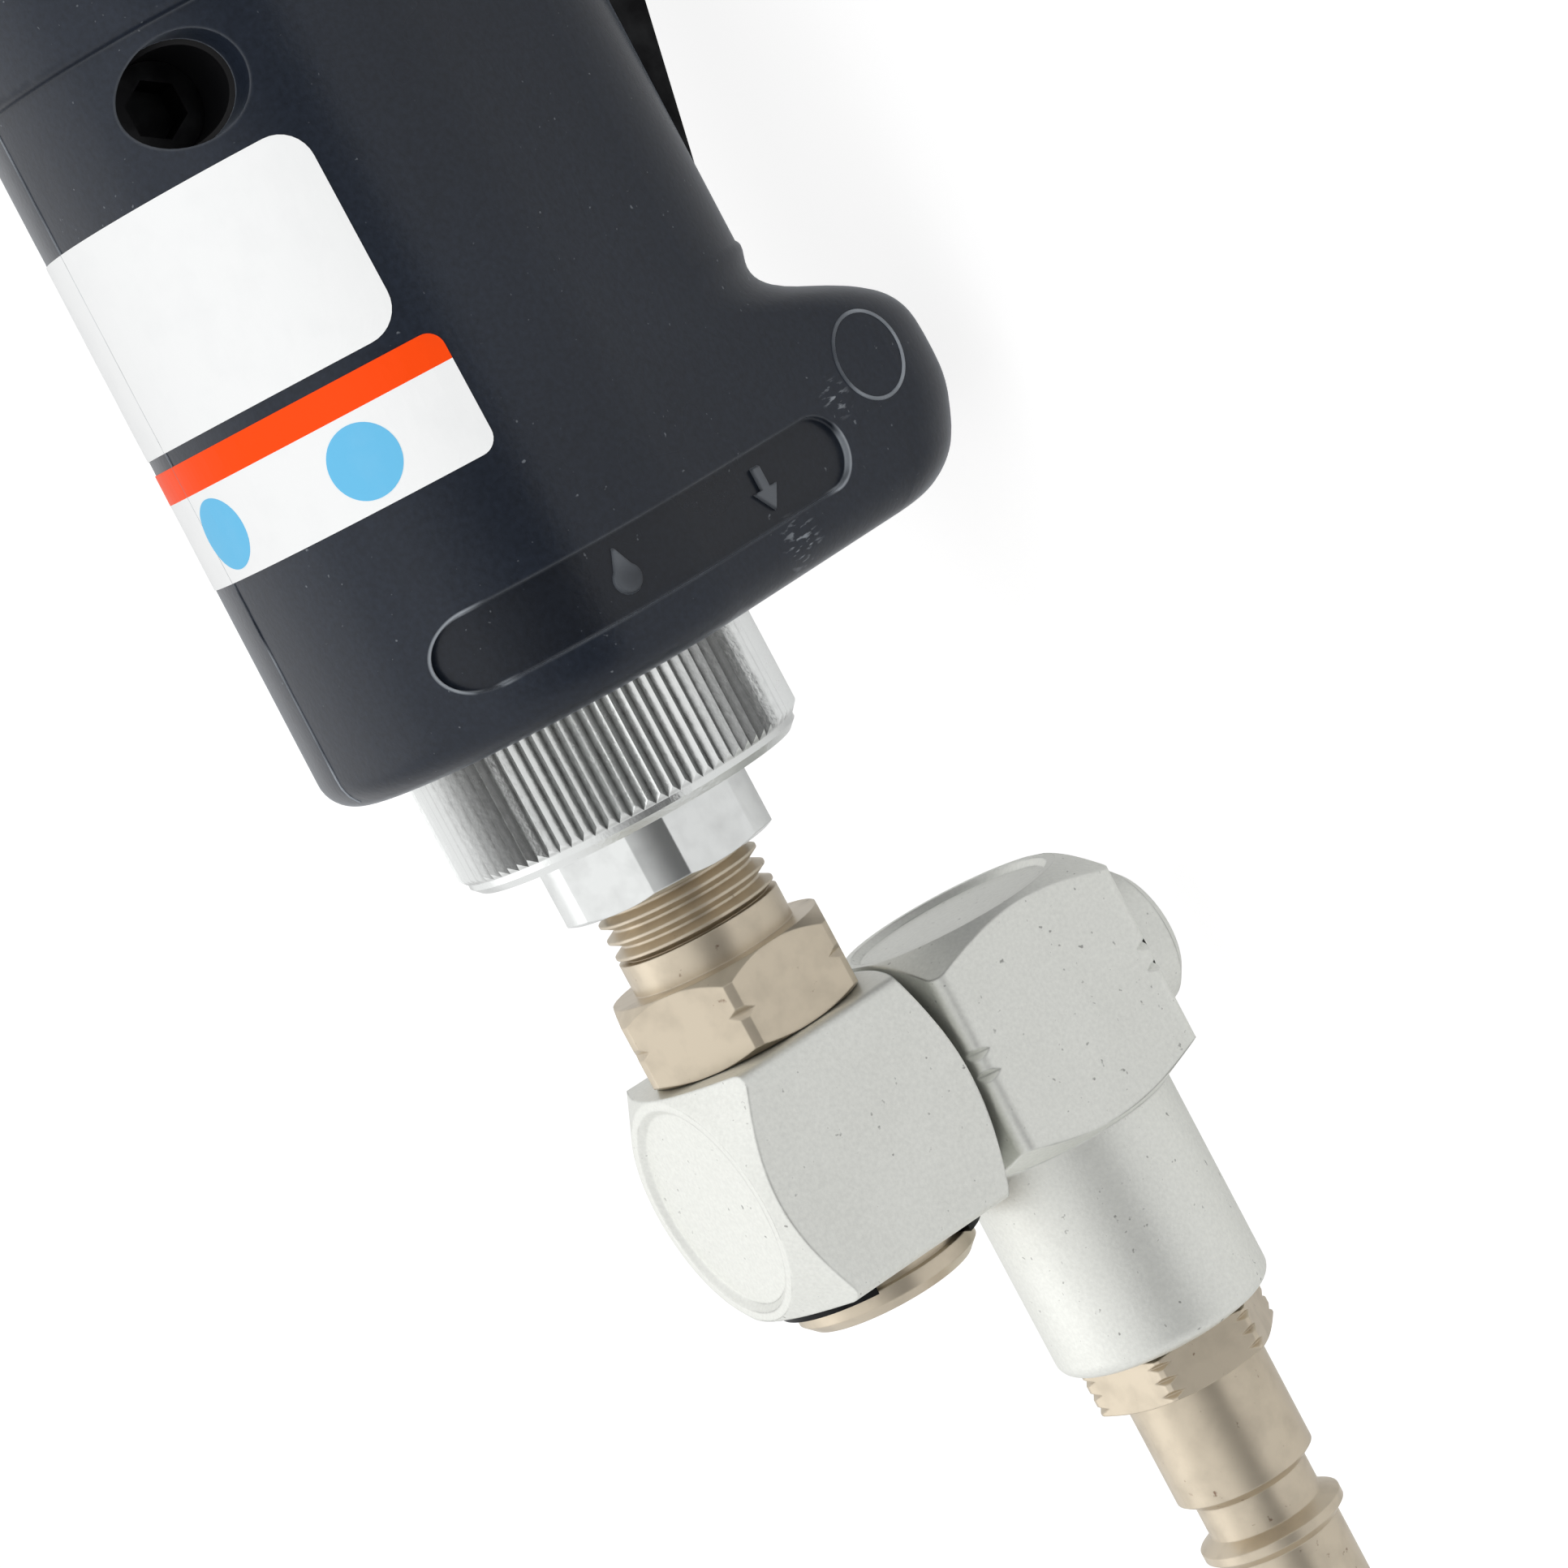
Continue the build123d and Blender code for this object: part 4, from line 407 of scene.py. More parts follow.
def turned_metal(name, colour, soil, smooth, rough, lines=0.22, spots=None, bare=1.0):
    """Turned or ground metal: fine lines run round the tool's axis, with soft soiling and, if worn, spots."""
    material, tree, place = new_material(name)

    # Tool marks, drawn coarser than real ones, which are too fine to show
    squeezed = put(
        tree, "ShaderNodeMapping", {"Vector": place, "Scale": (per_size(lines), per_size(9), per_size(9))}
    ).outputs[0]
    turning = put(
        tree, "ShaderNodeTexNoise", {"Vector": squeezed, "Scale": 1.0, "Detail": 3.0}
    ).outputs[0]
    smear = put(
        tree, "ShaderNodeTexNoise", {"Vector": place, "Scale": per_size(2.2), "Detail": 5.0}
    ).outputs[0]
    grime = put(
        tree, "ShaderNodeMapRange", {"Value": smear, "From Min": 0.45, "From Max": 0.85, "To Max": 0.2}
    ).outputs[0]
    tone = put(
        tree, "ShaderNodeMix", {FACTOR: grime, UNDER: colour, OVER: soil}, data_type="RGBA"
    ).outputs[MIXED]
    if spots is not None:
        pits = put(
            tree, "ShaderNodeTexNoise", {"Vector": place, "Scale": per_size(0.9), "Detail": 3.0}
        ).outputs[0]
        crowd = put(tree, "ShaderNodeMath", {0: smear, 1: 0.35}, operation="MULTIPLY").outputs[0]
        sum_up = put(tree, "ShaderNodeMath", {0: pits, 1: crowd}, operation="ADD").outputs[0]
        spot = put(
            tree, "ShaderNodeMapRange", {"Value": sum_up, "From Min": 0.885, "From Max": 0.96, "To Max": 0.8}
        ).outputs[0]
        tone = put(
            tree, "ShaderNodeMix", {FACTOR: spot, UNDER: tone, OVER: spots}, data_type="RGBA"
        ).outputs[MIXED]
    roughness = put(
        tree, "ShaderNodeMapRange", {"Value": smear, "To Min": smooth, "To Max": rough}
    ).outputs[0]
    rounded = put(tree, "ShaderNodeBevel", {"Radius": 0.18 * MM}, samples=4).outputs["Normal"]
    normal = put(
        tree, "ShaderNodeBump",
        {"Strength": 0.14, "Distance": 0.02 * MM, "Height": turning, "Normal": rounded},
    ).outputs[0]
    close_material(tree, Base_Color=tone, Metallic=bare, Roughness=roughness, Normal=normal)
    return material


def knurled_aluminium(colours):
    """Bright turned aluminium whose knurl is darker deep in its grooves, in patches, so that it sparkles."""
    material, tree, place = new_material("knurled bright aluminium")
    lowest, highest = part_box("exhaust_ring")
    groove_top = highest[1] - 0.2 * MM
    groove_floor = highest[1] - 0.6 * MM
    rim_end = lowest[0] + 1.1 * MM
    knurl_start = lowest[0] + 1.3 * MM
    flat = put(
        tree, "ShaderNodeVectorMath", {0: place, 1: (0.0, 1.0, 1.0)}, operation="MULTIPLY"
    ).outputs[0]
    radius = put(tree, "ShaderNodeVectorMath", {0: flat}, operation="LENGTH").outputs["Value"]
    smear = put(
        tree, "ShaderNodeTexNoise", {"Vector": place, "Scale": per_size(0.8), "Detail": 3.0}
    ).outputs[0]
    # Darker deep in the knurl's grooves, in patches
    depth = put(
        tree, "ShaderNodeMapRange",
        {"Value": radius, "From Min": groove_top, "From Max": groove_floor, "To Max": 1.3},
    ).outputs[0]
    grime = put(tree, "ShaderNodeMath", {0: depth, 1: smear}, operation="MULTIPLY").outputs[0]
    station = put(tree, "ShaderNodeSeparateXYZ", {"Vector": place}).outputs["X"]
    knurled = put(
        tree, "ShaderNodeMapRange", {"Value": station, "From Min": rim_end, "From Max": knurl_start}
    ).outputs[0]
    grime = put(tree, "ShaderNodeMath", {0: grime, 1: knurled}, operation="MULTIPLY").outputs[0]
    tone = put(
        tree, "ShaderNodeMix", {FACTOR: grime, UNDER: colours.aluminium, OVER: colours.soil_and_painted_shade},
        data_type="RGBA",
    ).outputs[MIXED]
    chatter = put(
        tree, "ShaderNodeTexNoise", {"Vector": place, "Scale": per_size(0.35), "Detail": 2.0}
    ).outputs[0]
    normal = put(
        tree, "ShaderNodeBump", {"Strength": 0.3, "Distance": 0.05 * MM, "Height": chatter}
    ).outputs[0]
    rough = put(tree, "ShaderNodeMapRange", {"Value": smear, "To Min": 0.14, "To Max": 0.34}).outputs[0]
    close_material(tree, Base_Color=tone, Metallic=1.0, Roughness=rough, Normal=normal)
    return material


def blasted_nickel(colours):
    """Satin pearl plating on blasted blocks: even silver grey, fine sparkle, small pits, painted shade along
    the edges.
    """
    material, tree, place = new_material("satin pearl plating on blasted zinc")
    pits = put(
        tree, "ShaderNodeTexNoise", {"Vector": place, "Scale": per_size(0.6), "Detail": 2.0}
    ).outputs[0]
    pitted = put(
        tree, "ShaderNodeMapRange", {"Value": pits, "From Min": 0.70, "From Max": 0.78, "To Max": 0.55}
    ).outputs[0]
    tone = put(
        tree, "ShaderNodeMix", {FACTOR: pitted, UNDER: colours.satin_nickel, OVER: colours.soil_and_painted_shade},
        data_type="RGBA",
    ).outputs[MIXED]
    cloud = put(
        tree, "ShaderNodeTexNoise", {"Vector": place, "Scale": per_size(6), "Detail": 3.0}
    ).outputs[0]
    rough = put(tree, "ShaderNodeMapRange", {"Value": cloud, "To Min": 0.46, "To Max": 0.6}).outputs[0]
    rounded = put(tree, "ShaderNodeBevel", {"Radius": 0.3 * MM}, samples=6).outputs["Normal"]
    # Painted shade along the edges, in patches, in the soil colour
    edge = put(
        tree, "ShaderNodeMapRange",
        {"Value": edge_turn(tree, rounded), "From Min": 0.985, "From Max": 0.93},
    ).outputs[0]
    worn = put(
        tree, "ShaderNodeMapRange", {"Value": cloud, "From Min": 0.45, "From Max": 0.7, "To Max": 0.7}
    ).outputs[0]
    worn = put(tree, "ShaderNodeMath", {0: edge, 1: worn}, operation="MULTIPLY").outputs[0]
    tone = put(
        tree, "ShaderNodeMix", {FACTOR: worn, UNDER: tone, OVER: colours.soil_and_painted_shade}, data_type="RGBA"
    ).outputs[MIXED]

    # Blasted grain, drawn coarser than the real one, which is too fine to show
    blast = put(
        tree, "ShaderNodeTexNoise", {"Vector": place, "Scale": per_size(0.3), "Detail": 2.0}
    ).outputs[0]
    sparkle = put(tree, "ShaderNodeMapRange", {"Value": blast, "To Min": 0.88, "To Max": 1.06}).outputs[0]
    tone = put(tree, "ShaderNodeVectorMath", {0: tone, "Scale": sparkle}, operation="SCALE").outputs[0]
    normal = put(
        tree, "ShaderNodeBump", {"Strength": 0.4, "Distance": 0.04 * MM, "Height": blast, "Normal": rounded}
    ).outputs[0]
    close_material(tree, Base_Color=tone, Metallic=1.0, Roughness=rough, Normal=normal)
    return material


def dark_finish(name, colour, paler, smooth, rough, metallic=0.0):
    """Dark dull surface: a little paler in small clouds and uneven in gloss, as oxide and rubber are."""
    material, tree, place = new_material(name)
    cloud = put(
        tree, "ShaderNodeTexNoise", {"Vector": place, "Scale": per_size(2.5), "Detail": 4.0}
    ).outputs[0]
    part = put(tree, "ShaderNodeMapRange", {"Value": cloud, "From Min": 0.4, "To Max": 0.06}).outputs[0]
    tone = put(
        tree, "ShaderNodeMix", {FACTOR: part, UNDER: colour, OVER: paler}, data_type="RGBA"
    ).outputs[MIXED]
    grain = put(
        tree, "ShaderNodeTexNoise", {"Vector": place, "Scale": per_size(0.25), "Detail": 2.0}
    ).outputs[0]
    normal = put(
        tree, "ShaderNodeBump", {"Strength": 0.2, "Distance": 0.02 * MM, "Height": grain}
    ).outputs[0]
    roughness = put(
        tree, "ShaderNodeMapRange", {"Value": cloud, "To Min": smooth, "To Max": rough}
    ).outputs[0]
    close_material(tree, Base_Color=tone, Metallic=metallic, Roughness=roughness, Normal=normal)
    return material


def printed_vinyl(name, colour, soil):
    """Printed vinyl: even and half glossy, a little handled grey, with the grip's grain showing through."""
    material, tree, place = new_material(name)
    handled = put(
        tree, "ShaderNodeTexNoise", {"Vector": place, "Scale": per_size(4), "Detail": 4.0}
    ).outputs[0]
    worn = put(
        tree, "ShaderNodeMapRange", {"Value": handled, "From Min": 0.5, "From Max": 0.9, "To Max": 0.07}
    ).outputs[0]
    tone = put(
        tree, "ShaderNodeMix", {FACTOR: worn, UNDER: colour, OVER: soil}, data_type="RGBA"
    ).outputs[MIXED]
    grain = put(
        tree, "ShaderNodeTexNoise", {"Vector": place, "Scale": per_size(0.5), "Detail": 1.0}
    ).outputs[0]
    normal = put(
        tree, "ShaderNodeBump", {"Strength": 0.12, "Distance": 0.02 * MM, "Height": grain}
    ).outputs[0]
    rough = put(tree, "ShaderNodeMapRange", {"Value": handled, "To Min": 0.36, "To Max": 0.5}).outputs[0]
    close_material(tree, Base_Color=tone, Roughness=rough, Normal=normal, Specular_IOR_Level=0.15)
    return material


def finish_nodes(material, names):
    """Give CAD nodes a finish."""
    for name in names:
        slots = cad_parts[name].data.materials
        slots.clear()
        slots.append(material)


class AIRSAW_OT_finishes(Operator):
    """Give each part of the saw its finish"""

    bl_idname = "airsaw.finishes"
    bl_label = "Finishes"

    def execute(self, context):
        colours = context.scene.airsaw_colours
        marks = context.scene.airsaw_marks
        soil = colours.soil_and_painted_shade
        finish_nodes(moulded_composite(colours, marks), ["grip_housing"])
        finish_nodes(knurled_aluminium(colours), ["exhaust_ring"])
        finish_nodes(
            turned_metal("satin turned aluminium", colours.aluminium, soil, 0.15, 0.25),
            ["inlet_bushing", "nose_housing", "rear_head", "valve_chest"],
        )
        finish_nodes(
            turned_metal(
                "warm nickel plate", colours.warm_nickel, soil, 0.3, 0.42, 0.3, colours.rust, bare=0.9
            ),
            ["swivel_stem", "air_plug"],
        )
        finish_nodes(blasted_nickel(colours), ["swivel_elbow", "swivel_socket"])
        finish_nodes(
            dark_finish("black oxide on steel", colours.black, colours.steel, 0.34, 0.5, metallic=0.85),
            [
                "throttle_lever", "retaining_screws", "stem_circlip", "spigot_circlip", "nose_screws",
                "clamp_screws", "bracket_screw", "shoe_clips",
            ],
        )
        finish_nodes(
            dark_finish(
                "black anodised aluminium", colours.black, colours.grip_dark, 0.4, 0.55, metallic=0.3
            ),
            ["valve_body"],
        )
        finish_nodes(
            turned_metal("ground steel", colours.steel, soil, 0.22, 0.38),
            [
                "lever_pin", "valve_stem", "valve_spring", "chest_pins", "flutter_valve", "cylinder",
                "piston_rod", "piston_ring", "blade_clamp", "guide_bracket", "bracket_washer", "shoe",
                "shoe_pin",
            ],
        )
        finish_nodes(turned_metal("rolled blade steel", colours.blade, soil, 0.3, 0.45, 0.5), ["saw_blade"])
        finish_nodes(
            turned_metal("turned brass", colours.brass, soil, 0.22, 0.35),
            ["valve_bush", "valve_cap", "rod_bush", "inlet_screen"],
        )
        finish_nodes(
            dark_finish("nitrile rubber", colours.rubber, colours.grip_light, 0.65, 0.85),
            [
                "inlet_o_ring", "stem_o_rings", "spigot_o_rings", "valve_o_ring", "valve_seal", "head_o_ring",
                "nose_o_ring", "bumper", "rod_wiper",
            ],
        )
        finish_nodes(
            dark_finish("black nylon", colours.rubber, colours.grip_light, 0.4, 0.55), ["ring_washer"]
        )
        return {"FINISHED"}


def grip_surface():
    """The grip's surface, for finding points on it."""
    shape = bmesh.new()
    shape.from_mesh(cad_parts["grip_housing"].data)
    surface = BVHTree.FromBMesh(shape)
    shape.free()
    return surface


def round_grip(surface, station, turn):
    """Point on the grip at an angle round from its back, and the way out there."""
    out = Vector((0.0, -math.sin(turn), math.cos(turn)))
    point = surface.ray_cast(Vector((station, 0.0, 0.0)) + out * FAR_OUT, -out)[0]
    if point is None:
        raise RuntimeError("no grip at station %.4f" % station)
    return point, out


def beside_grip(surface, station, height):
    """Point on the grip's right side at a height, and the way out there."""
    out = Vector((0.0, -1.0, 0.0))
    point = surface.ray_cast(Vector((station, 0.0, height)) + out * FAR_OUT, -out)[0]
    if point is None:
        raise RuntimeError("no grip at station %.4f, height %.4f" % (station, height))
    return point, out


def keep_piece(name, mesh):
    """Make a mesh a piece of the tool body."""
    piece = bpy.data.objects.new(name, mesh)
    bpy.context.scene.collection.objects.link(piece)
    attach(piece, "tool")
    return piece


def spaced(start, end, count):
    """Even steps from start to end."""
    return [start + (end - start) * step / count for step in range(count + 1)]


def sticker_rows(front, rear, corner):
    """Stations of a sticker's rows, close together at its rounded corners."""
    eased = [corner * (1 - math.cos(turn)) for turn in spaced(0.0, math.pi / 2, CORNER_STEPS)]
    middle = spaced(front - corner, rear + corner, ROW_STEPS)[1:-1]
    return [front - ease for ease in eased] + middle + [rear + ease for ease in reversed(eased)]


def sticker_sheet(surface, rows, reach, corner, lift):
    """A sheet round the back of the grip with rounded corners; rows are its stations from the front."""
    front = rows[0]
    rear = rows[-1]
    radius = round_grip(surface, (front + rear) / 2, 0.0)[0].z
    sheet = bmesh.new()
    grid = []
    for station in rows:
        inset = min(front - station, station - rear, corner)
        short = corner - math.sqrt(corner**2 - (corner - inset) ** 2)
        half = reach - short / radius
        line = []
        for turn in spaced(half, -half, COLUMN_STEPS):
            point, out = round_grip(surface, station, turn)
            line.append(sheet.verts.new(point + out * lift))
        grid.append(line)
    for first, second in zip(grid, grid[1:]):
        for column in range(COLUMN_STEPS):
            sheet.faces.new((first[column], second[column], second[column + 1], first[column + 1]))
    return sheet


def finish_sheet(sheet, name, depth, materials):
    """Give a sheet on the grip its thickness, down into the grip, and keep it as a piece."""
    sheet.normal_update()
    across = Vector((0.0, 1.0, 1.0))
    outward = sum(face.normal.dot(face.calc_center_median() * across) for face in sheet.faces)
    if outward < 0:
        bmesh.ops.reverse_faces(sheet, faces=sheet.faces)
    under = bmesh.ops.duplicate(sheet, geom=list(sheet.faces))
    rims = [edge for edge in sheet.edges if edge.is_boundary]
    lower_verts = [part for part in under["geom"] if isinstance(part, bmesh.types.BMVert)]
    lower_faces = [part for part in under["geom"] if isinstance(part, bmesh.types.BMFace)]
    for vert in lower_verts:
        vert.co -= Vector((0.0, vert.co.y, vert.co.z)).normalized() * depth
    bmesh.ops.reverse_faces(sheet, faces=lower_faces)
    bmesh.ops.bridge_loops(sheet, edges=rims)
    bmesh.ops.recalc_face_normals(sheet, faces=sheet.faces)
    mesh = bpy.data.meshes.new(name)
    sheet.to_mesh(mesh)
    sheet.free()
    for material in materials:
        mesh.materials.append(material)
    return keep_piece(name, mesh)


class AIRSAW_OT_stickers(Operator):
    """Two blank stickers round the back of the grip"""

    bl_idname = "airsaw.stickers"
    bl_label = "Stickers"

    def execute(self, context):
        colours = context.scene.airsaw_colours
        marks = context.scene.airsaw_marks
        surface = grip_surface()
        white = printed_vinyl("white vinyl", colours.vinyl_white, colours.grip_scuff_and_highlight)
        orange = printed_vinyl("orange printed vinyl", colours.vinyl_orange, colours.rust)
        depth = marks.sticker_lift * STICKER_DEPTH
        plate_rows = sticker_rows(marks.plate_front, marks.plate_rear, marks.sticker_corner)
        plate = sticker_sheet(
            surface, plate_rows, marks.plate_reach, marks.sticker_corner, marks.sticker_lift
        )
        finish_sheet(plate, "sticker_plain", depth, [white])
        band_rows = sticker_rows(marks.band_front, marks.band_rear, marks.band_corner)
        band_rows = sorted({*band_rows, marks.band_edge}, reverse=True)
        band = sticker_sheet(surface, band_rows, marks.band_reach, marks.band_corner, marks.sticker_lift)
        for face in band.faces:
            if face.calc_center_median().x > marks.band_edge:
                face.material_index = 1
        finish_sheet(band, "sticker_banded", depth, [white, orange])
        return {"FINISHED"}


class AIRSAW_OT_discs(Operator):
    """Plain printed discs on the banded sticker"""

    bl_idname = "airsaw.discs"
    bl_label = "Printed discs"

    def execute(self, context):
        colours = context.scene.airsaw_colours
        marks = context.scene.airsaw_marks
        surface = grip_surface()
        blue = printed_vinyl("blue printed vinyl", colours.vinyl_blue, colours.vinyl_white)
        radius = round_grip(surface, marks.disc_station, 0.0)[0].z
        lift = marks.sticker_lift * DISC_LIFT
        segments = 48
        rings = 6
        for number in range(marks.disc_count):
            middle = marks.disc_first - number * marks.disc_step
            sheet = bmesh.new()
            point, out = round_grip(surface, marks.disc_station, middle)
            inner = [sheet.verts.new(point + out * lift)] * segments
            for ring in range(1, rings + 1):
                size = marks.disc_radius * ring / rings
                outer = []
                for segment in range(segments):
                    angle = math.tau * segment / segments
                    station = marks.disc_station + size * math.cos(angle)
                    point, out = round_grip(surface, station, middle + size * math.sin(angle) / radius)
                    outer.append(sheet.verts.new(point + out * lift))
                for segment in range(segments):
                    following = (segment + 1) % segments
                    corners = [inner[segment], outer[segment], outer[following], inner[following]]
                    sheet.faces.new(dict.fromkeys(corners))
                inner = outer
            finish_sheet(sheet, "sticker_disc_%d" % (number + 1), lift * DISC_DEPTH, [blue])
        return {"FINISHED"}


def raised_mark(surface, name, outline, station, height, lift, material):
    """A raised mark with a sloped edge, from its outline along the grip and across it."""
    shape = bmesh.new()
    foot = []
    crown = []
    foot_sink = 0.3
    crown_share = 0.9
    crown_scale = crown_share * MM
    for along, across in outline:
        point, out = beside_grip(surface, station + along * MM, height + across * MM)
        foot.append(shape.verts.new(point - out * lift * foot_sink))
        point, out = beside_grip(surface, station + along * crown_scale, height + across * crown_scale)
        crown.append(shape.verts.new(point + out * lift))
    top = shape.faces.new(crown)
    bottom = shape.faces.new(foot)
    for place in range(len(outline)):
        shape.faces.new((foot[place - 1], foot[place], crown[place], crown[place - 1]))
    bmesh.ops.triangulate(shape, faces=[top, bottom])
    bmesh.ops.recalc_face_normals(shape, faces=shape.faces)
    mesh = bpy.data.meshes.new(name)
    shape.to_mesh(mesh)
    shape.free()
    mesh.materials.append(material)
    return keep_piece(name, mesh)


class AIRSAW_OT_marks(Operator):
    """A raised drop and arrow that show where oil goes in"""

    bl_idname = "airsaw.marks"
    bl_label = "Moulded marks"

    def execute(self, context):
        colours = context.scene.airsaw_colours
        marks = context.scene.airsaw_marks
        surface = grip_surface()
        composite = moulded_composite(colours, marks, "rubbed moulded mark", pale=0.3)
        tail, neck, tip = 1.7, -0.1, -1.9
        shaft, head = 0.45, 1.3
        arrow = [
            (tail, -shaft), (tail, shaft), (neck, shaft), (neck, head),
            (tip, 0.0), (neck, -head), (neck, -shaft),
        ]
        raised_mark(
            surface, "mark_arrow", arrow, marks.recess_station, marks.arrow_height, marks.mark_lift, composite
        )
        point, belly, belly_drop = 2.0, 1.15, 0.55
        belly_open, belly_steps = 40, 20
        drop = [(point, 0.0)]
        for turn in spaced(belly_open, 360 - belly_open, belly_steps):
            angle = math.radians(turn)
            drop.append((belly * math.cos(angle) - belly_drop, belly * math.sin(angle)))
        raised_mark(
            surface, "mark_drop", drop, marks.recess_station, marks.drop_height, marks.mark_lift, composite
        )
        return {"FINISHED"}


def bead_tree():
    """Nodes that run a rounded bead along a line of edges, with the sockets that set it."""
    tree = bpy.data.node_groups.new("moulded bead", "GeometryNodeTree")
    sockets = {}
    for name, kind in (
        ("Line", "NodeSocketGeometry"),
        ("Bead radius", "NodeSocketFloat"),
        ("Bead sides", "NodeSocketInt"),
        ("Finish", "NodeSocketMaterial"),
    ):
        sockets[name] = tree.interface.new_socket(name, in_out="INPUT", socket_type=kind).identifier
    tree.interface.new_socket("Bead", in_out="OUTPUT", socket_type="NodeSocketGeometry")
    given = put(tree, "NodeGroupInput").outputs
    path = put(tree, "GeometryNodeMeshToCurve", {"Mesh": given["Line"]}).outputs[0]
    profile = put(
        tree, "GeometryNodeCurvePrimitiveCircle",
        {"Resolution": given["Bead sides"], "Radius": given["Bead radius"]},
    ).outputs[0]
    bead = put(
        tree, "GeometryNodeCurveToMesh", {"Curve": path, "Profile Curve": profile, "Fill Caps": True}
    ).outputs[0]
    real = put(tree, "GeometryNodeRealizeInstances", {"Geometry": bead}).outputs[0]
    done = put(
        tree, "GeometryNodeSetMaterial", {"Geometry": real, "Material": given["Finish"]}
    ).outputs[0]
    put(tree, "NodeGroupOutput", {"Bead": done})
    return tree, sockets


def run_bead(tree, sockets, name, points, closed, sizes):
    """Make a line through points into a bead that rides on the tool."""
    edges = [(place, place + 1) for place in range(len(points) - 1)]
    if closed:
        edges.append((len(points) - 1, 0))
    line = bpy.data.meshes.new(name)
    line.from_pydata(points, edges, [])
    maker = bpy.data.objects.new(name + "_line", line)
    bpy.context.scene.collection.objects.link(maker)
    modifier = maker.modifiers.new("bead", "NODES")
    modifier.node_group = tree
    for socket_name, value in sizes.items():
        modifier[sockets[socket_name]] = value
    seen = maker.evaluated_get(bpy.context.evaluated_depsgraph_get())
    mesh = bpy.data.meshes.new_from_object(seen)
    mesh.name = name
    bpy.data.objects.remove(maker)
    return keep_piece(name, mesh)


class AIRSAW_OT_beads(Operator):
    """Mould seam along the back of the grip and the ejector pin's ring on its hook"""

    bl_idname = "airsaw.beads"
    bl_label = "Moulding beads"

    def execute(self, context):
        colours = context.scene.airsaw_colours
        marks = context.scene.airsaw_marks
        surface = grip_surface()
        tree, sockets = bead_tree()
        sizes = {
            "Bead radius": marks.bead_radius,
            "Bead sides": marks.bead_sides,
            "Finish": moulded_composite(colours, marks, "moulding flash", pale=1.0),
        }
        low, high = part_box("grip_housing")
        inset = 0.8 * MM
        seam_steps = 160
        stations = spaced(low[0] + inset, high[0] - inset, seam_steps)
        seam = [round_grip(surface, station, 0.0)[0] for station in stations]
        run_bead(tree, sockets, "mould_seam", seam, False, sizes)
        ring = []
        ring_steps = 64
        for turn in spaced(0.0, math.tau, ring_steps)[:-1]:
            station = marks.ejector_place[0] + marks.ejector_radius * math.cos(turn)
            height = marks.ejector_place[2] + marks.ejector_radius * math.sin(turn)
            ring.append(beside_grip(surface, station, height)[0])
        ring_bead = 1.4
        sizes["Bead radius"] = marks.bead_radius * ring_bead
        run_bead(tree, sockets, "ejector_ring", ring, True, sizes)
        return {"FINISHED"}


def camera_axes(view):
    """The camera's right, up and back, from its turns about the tool."""
    side = math.cos(view.lead)
    back = Vector((math.sin(view.lead), -side * math.cos(view.rise), side * math.sin(view.rise)))
    inlet = Vector((-1.0, 0.0, 0.0))
    along = (inlet - back * inlet.dot(back)).normalized()
    across = back.cross(along)
    right = along * math.cos(view.slant) + across * math.sin(view.slant)
    up = across * math.cos(view.slant) - along * math.sin(view.slant)
    return right, up, back


def place_camera(scene, view, right, up, back):
    """The scene's camera, at its distance from the aim."""
    camera_data = bpy.data.cameras.new("camera")
    camera_data.lens = view.lens
    camera_data.sensor_width = 36.0
    camera_data.clip_start = 0.01
    camera = bpy.data.objects.new("camera", camera_data)
    scene.collection.objects.link(camera)
    turned = Matrix((right, up, back)).transposed().to_4x4()
    camera.matrix_world = Matrix.Translation(Vector(view.aim) + back * view.distance) @ turned
    scene.camera = camera


def soft_lamp(name, place, aim, size, power):
    """A large square lamp that faces the aim."""
    lamp = bpy.data.lights.new(name, "AREA")
    lamp.shape = "SQUARE"
    lamp.size = size
    lamp.energy = power
    lamp_object = bpy.data.objects.new(name, lamp)
    lamp_object.visible_glossy = False
    bpy.context.scene.collection.objects.link(lamp_object)
    facing = (aim - place).to_track_quat("-Z", "Y").to_matrix().to_4x4()
    lamp_object.matrix_world = Matrix.Translation(place) @ facing


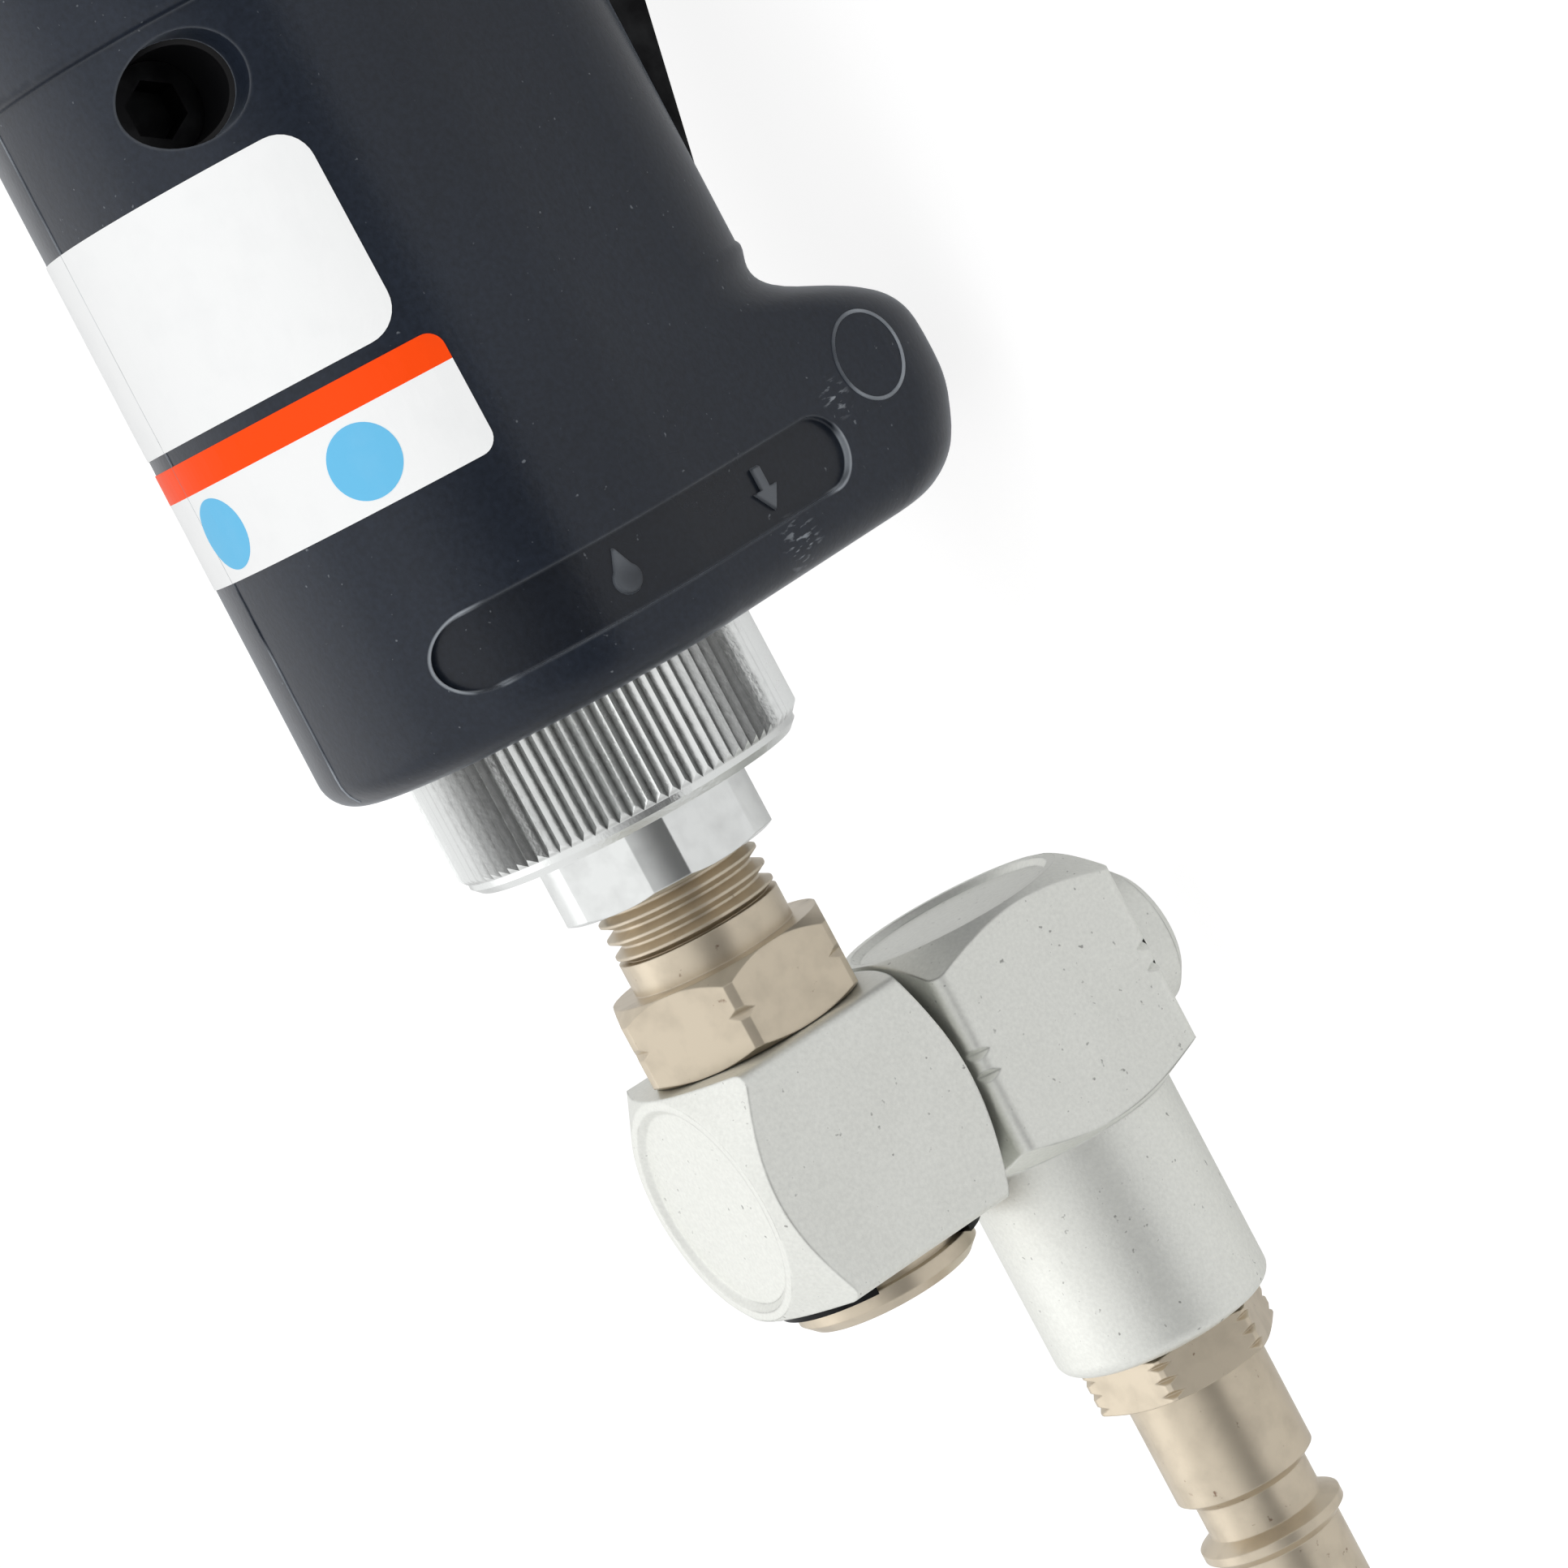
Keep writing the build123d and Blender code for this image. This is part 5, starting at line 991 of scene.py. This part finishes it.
def light_room(scene, view, right, up, back):
    """A white room that metal and gloss show."""
    world = bpy.data.worlds.new("white room")
    world.use_nodes = True
    scene.world = world
    tree = world.node_tree
    tree.nodes.clear()
    rays = put(tree, "ShaderNodeLightPath").outputs
    seen = put(
        tree, "ShaderNodeMath", {0: rays["Is Camera Ray"], 1: rays["Is Glossy Ray"]}, operation="MAXIMUM"
    )
    seen = put(
        tree, "ShaderNodeMath", {0: seen.outputs[0], 1: rays["Is Transmission Ray"]}, operation="MAXIMUM"
    )

    # Dimmer on the camera's side and on the right, so that bright metal has something dark to show, and
    # with a window high behind the saw, which lights the grip's back
    way = put(tree, "ShaderNodeTexCoord").outputs["Generated"]
    dim_way = (back + right * 0.45 + up * 0.15).normalized()
    window_way = Vector((0.0, 0.47, 0.88)).normalized()
    walls = (
        (dim_way, 0.55, 0.95, view.room_dim),
        (right, 0.0, 0.8, view.room_right),
        (window_way, 0.86, 0.96, view.window_light),
    )
    wall = 1.0
    for towards, starts, full, brightness in walls:
        near = put(
            tree, "ShaderNodeVectorMath", {0: way, 1: towards}, operation="DOT_PRODUCT"
        ).outputs["Value"]
        level = put(
            tree, "ShaderNodeMapRange",
            {"Value": near, "From Min": starts, "From Max": full, "To Min": 1.0, "To Max": brightness},
        ).outputs[0]
        wall = put(tree, "ShaderNodeMath", {0: wall, 1: level}, operation="MULTIPLY").outputs[0]
    wall = put(
        tree, "ShaderNodeMix", {SHARE: rays["Is Camera Ray"], LESS: wall, MORE: 1.0}, data_type="FLOAT"
    ).outputs[0]
    strength = put(
        tree, "ShaderNodeMix", {SHARE: seen.outputs[0], LESS: view.room_light, MORE: wall},
        data_type="FLOAT",
    ).outputs[0]
    light = put(tree, "ShaderNodeBackground", {"Color": (1, 1, 1, 1), "Strength": strength})
    put(tree, "ShaderNodeOutputWorld", {"Surface": light.outputs[0]})


def lay_floor(scene, view):
    """A pale floor that looks white and still takes the saw's shadow."""
    reach = 2.0
    gap = 1.0 * MM
    level = cad_box[0][2] - gap
    square = ((-reach, -reach), (reach, -reach), (reach, reach), (-reach, reach))
    corners = [(x, y, level) for x, y in square]
    floor_mesh = bpy.data.meshes.new("floor")
    floor_mesh.from_pydata(corners, [], [(0, 1, 2, 3)])
    floor = bpy.data.objects.new("floor", floor_mesh)
    scene.collection.objects.link(floor)
    paint, tree, place = new_material("white painted board")
    rays = put(tree, "ShaderNodeLightPath").outputs
    gloss_share = 0.12
    shine = put(tree, "ShaderNodeMath", {0: rays["Is Glossy Ray"], 1: gloss_share}, operation="MULTIPLY")
    seen = put(
        tree, "ShaderNodeMath", {0: rays["Is Camera Ray"], 1: shine.outputs[0]}, operation="MAXIMUM"
    )
    seen = put(
        tree, "ShaderNodeMath", {0: seen.outputs[0], 1: rays["Is Transmission Ray"]}, operation="MAXIMUM"
    )
    glow = put(
        tree, "ShaderNodeMath", {0: seen.outputs[0], 1: view.floor_glow}, operation="MULTIPLY"
    ).outputs[0]
    mottle = put(tree, "ShaderNodeTexNoise", {"Vector": place, "Scale": per_size(60)}).outputs[0]
    rough = put(tree, "ShaderNodeMapRange", {"Value": mottle, "To Min": 0.8, "To Max": 0.95}).outputs[0]
    lit_board = linear("#e8e8e8")
    seen_board = linear("#a8a8a8")
    board = put(
        tree, "ShaderNodeMix", {FACTOR: rays["Is Camera Ray"], UNDER: lit_board, OVER: seen_board},
        data_type="RGBA",
    ).outputs[MIXED]
    close_material(
        tree, Base_Color=board, Roughness=rough, Specular_IOR_Level=0.1,
        Emission_Color=(1, 1, 1, 1), Emission_Strength=glow,
    )
    floor_mesh.materials.append(paint)


class AIRSAW_OT_stage(Operator):
    """Camera, soft lamps, white room and a pale floor"""

    bl_idname = "airsaw.stage"
    bl_label = "Stage"

    def execute(self, context):
        scene = context.scene
        view = scene.airsaw_view
        right, up, back = camera_axes(view)
        place_camera(scene, view, right, up, back)
        aim = Vector(view.aim)
        key_way = (back * 0.78 - right * 0.5 - up * 0.2).normalized()
        key_distance, key_size = 0.8, 1.1
        soft_lamp("key lamp", aim + key_way * key_distance, aim, key_size, view.key_light)
        fill_way = (back * 0.25 + right * 0.8 + up * 0.3).normalized()
        fill_distance, fill_size = 0.9, 0.5
        soft_lamp("fill lamp", aim + fill_way * fill_distance, aim, fill_size, view.fill_light)
        light_room(scene, view, right, up, back)
        lay_floor(scene, view)
        scene.view_settings.view_transform = "Standard"
        return {"FINISHED"}


class AIRSAW_PT_panel(Panel):
    """Lists the steps that dress the saw"""

    bl_idname = "AIRSAW_PT_panel"
    bl_label = "Air saw"
    bl_space_type = "VIEW_3D"
    bl_region_type = "UI"
    bl_category = "Air saw"

    def draw(self, context):
        for step in STEPS:
            self.layout.operator(step.bl_idname)


STEPS = (
    AIRSAW_OT_finishes, AIRSAW_OT_stickers, AIRSAW_OT_discs,
    AIRSAW_OT_marks, AIRSAW_OT_beads, AIRSAW_OT_stage,
)
GROUPS = {"airsaw_colours": AirSawColours, "airsaw_marks": AirSawMarks, "airsaw_view": AirSawView}


def register():
    for name, group in GROUPS.items():
        bpy.utils.register_class(group)
        setattr(bpy.types.Scene, name, PointerProperty(type=group))
    for step in STEPS:
        bpy.utils.register_class(step)
    bpy.utils.register_class(AIRSAW_PT_panel)


def unregister():
    bpy.utils.unregister_class(AIRSAW_PT_panel)
    for step in reversed(STEPS):
        bpy.utils.unregister_class(step)
    for name, group in GROUPS.items():
        delattr(bpy.types.Scene, name)
        bpy.utils.unregister_class(group)


def main():
    register()
    bpy.ops.airsaw.finishes()
    bpy.ops.airsaw.stickers()
    bpy.ops.airsaw.discs()
    bpy.ops.airsaw.marks()
    bpy.ops.airsaw.beads()
    bpy.ops.airsaw.stage()


if __name__ == "__main__":
    main()
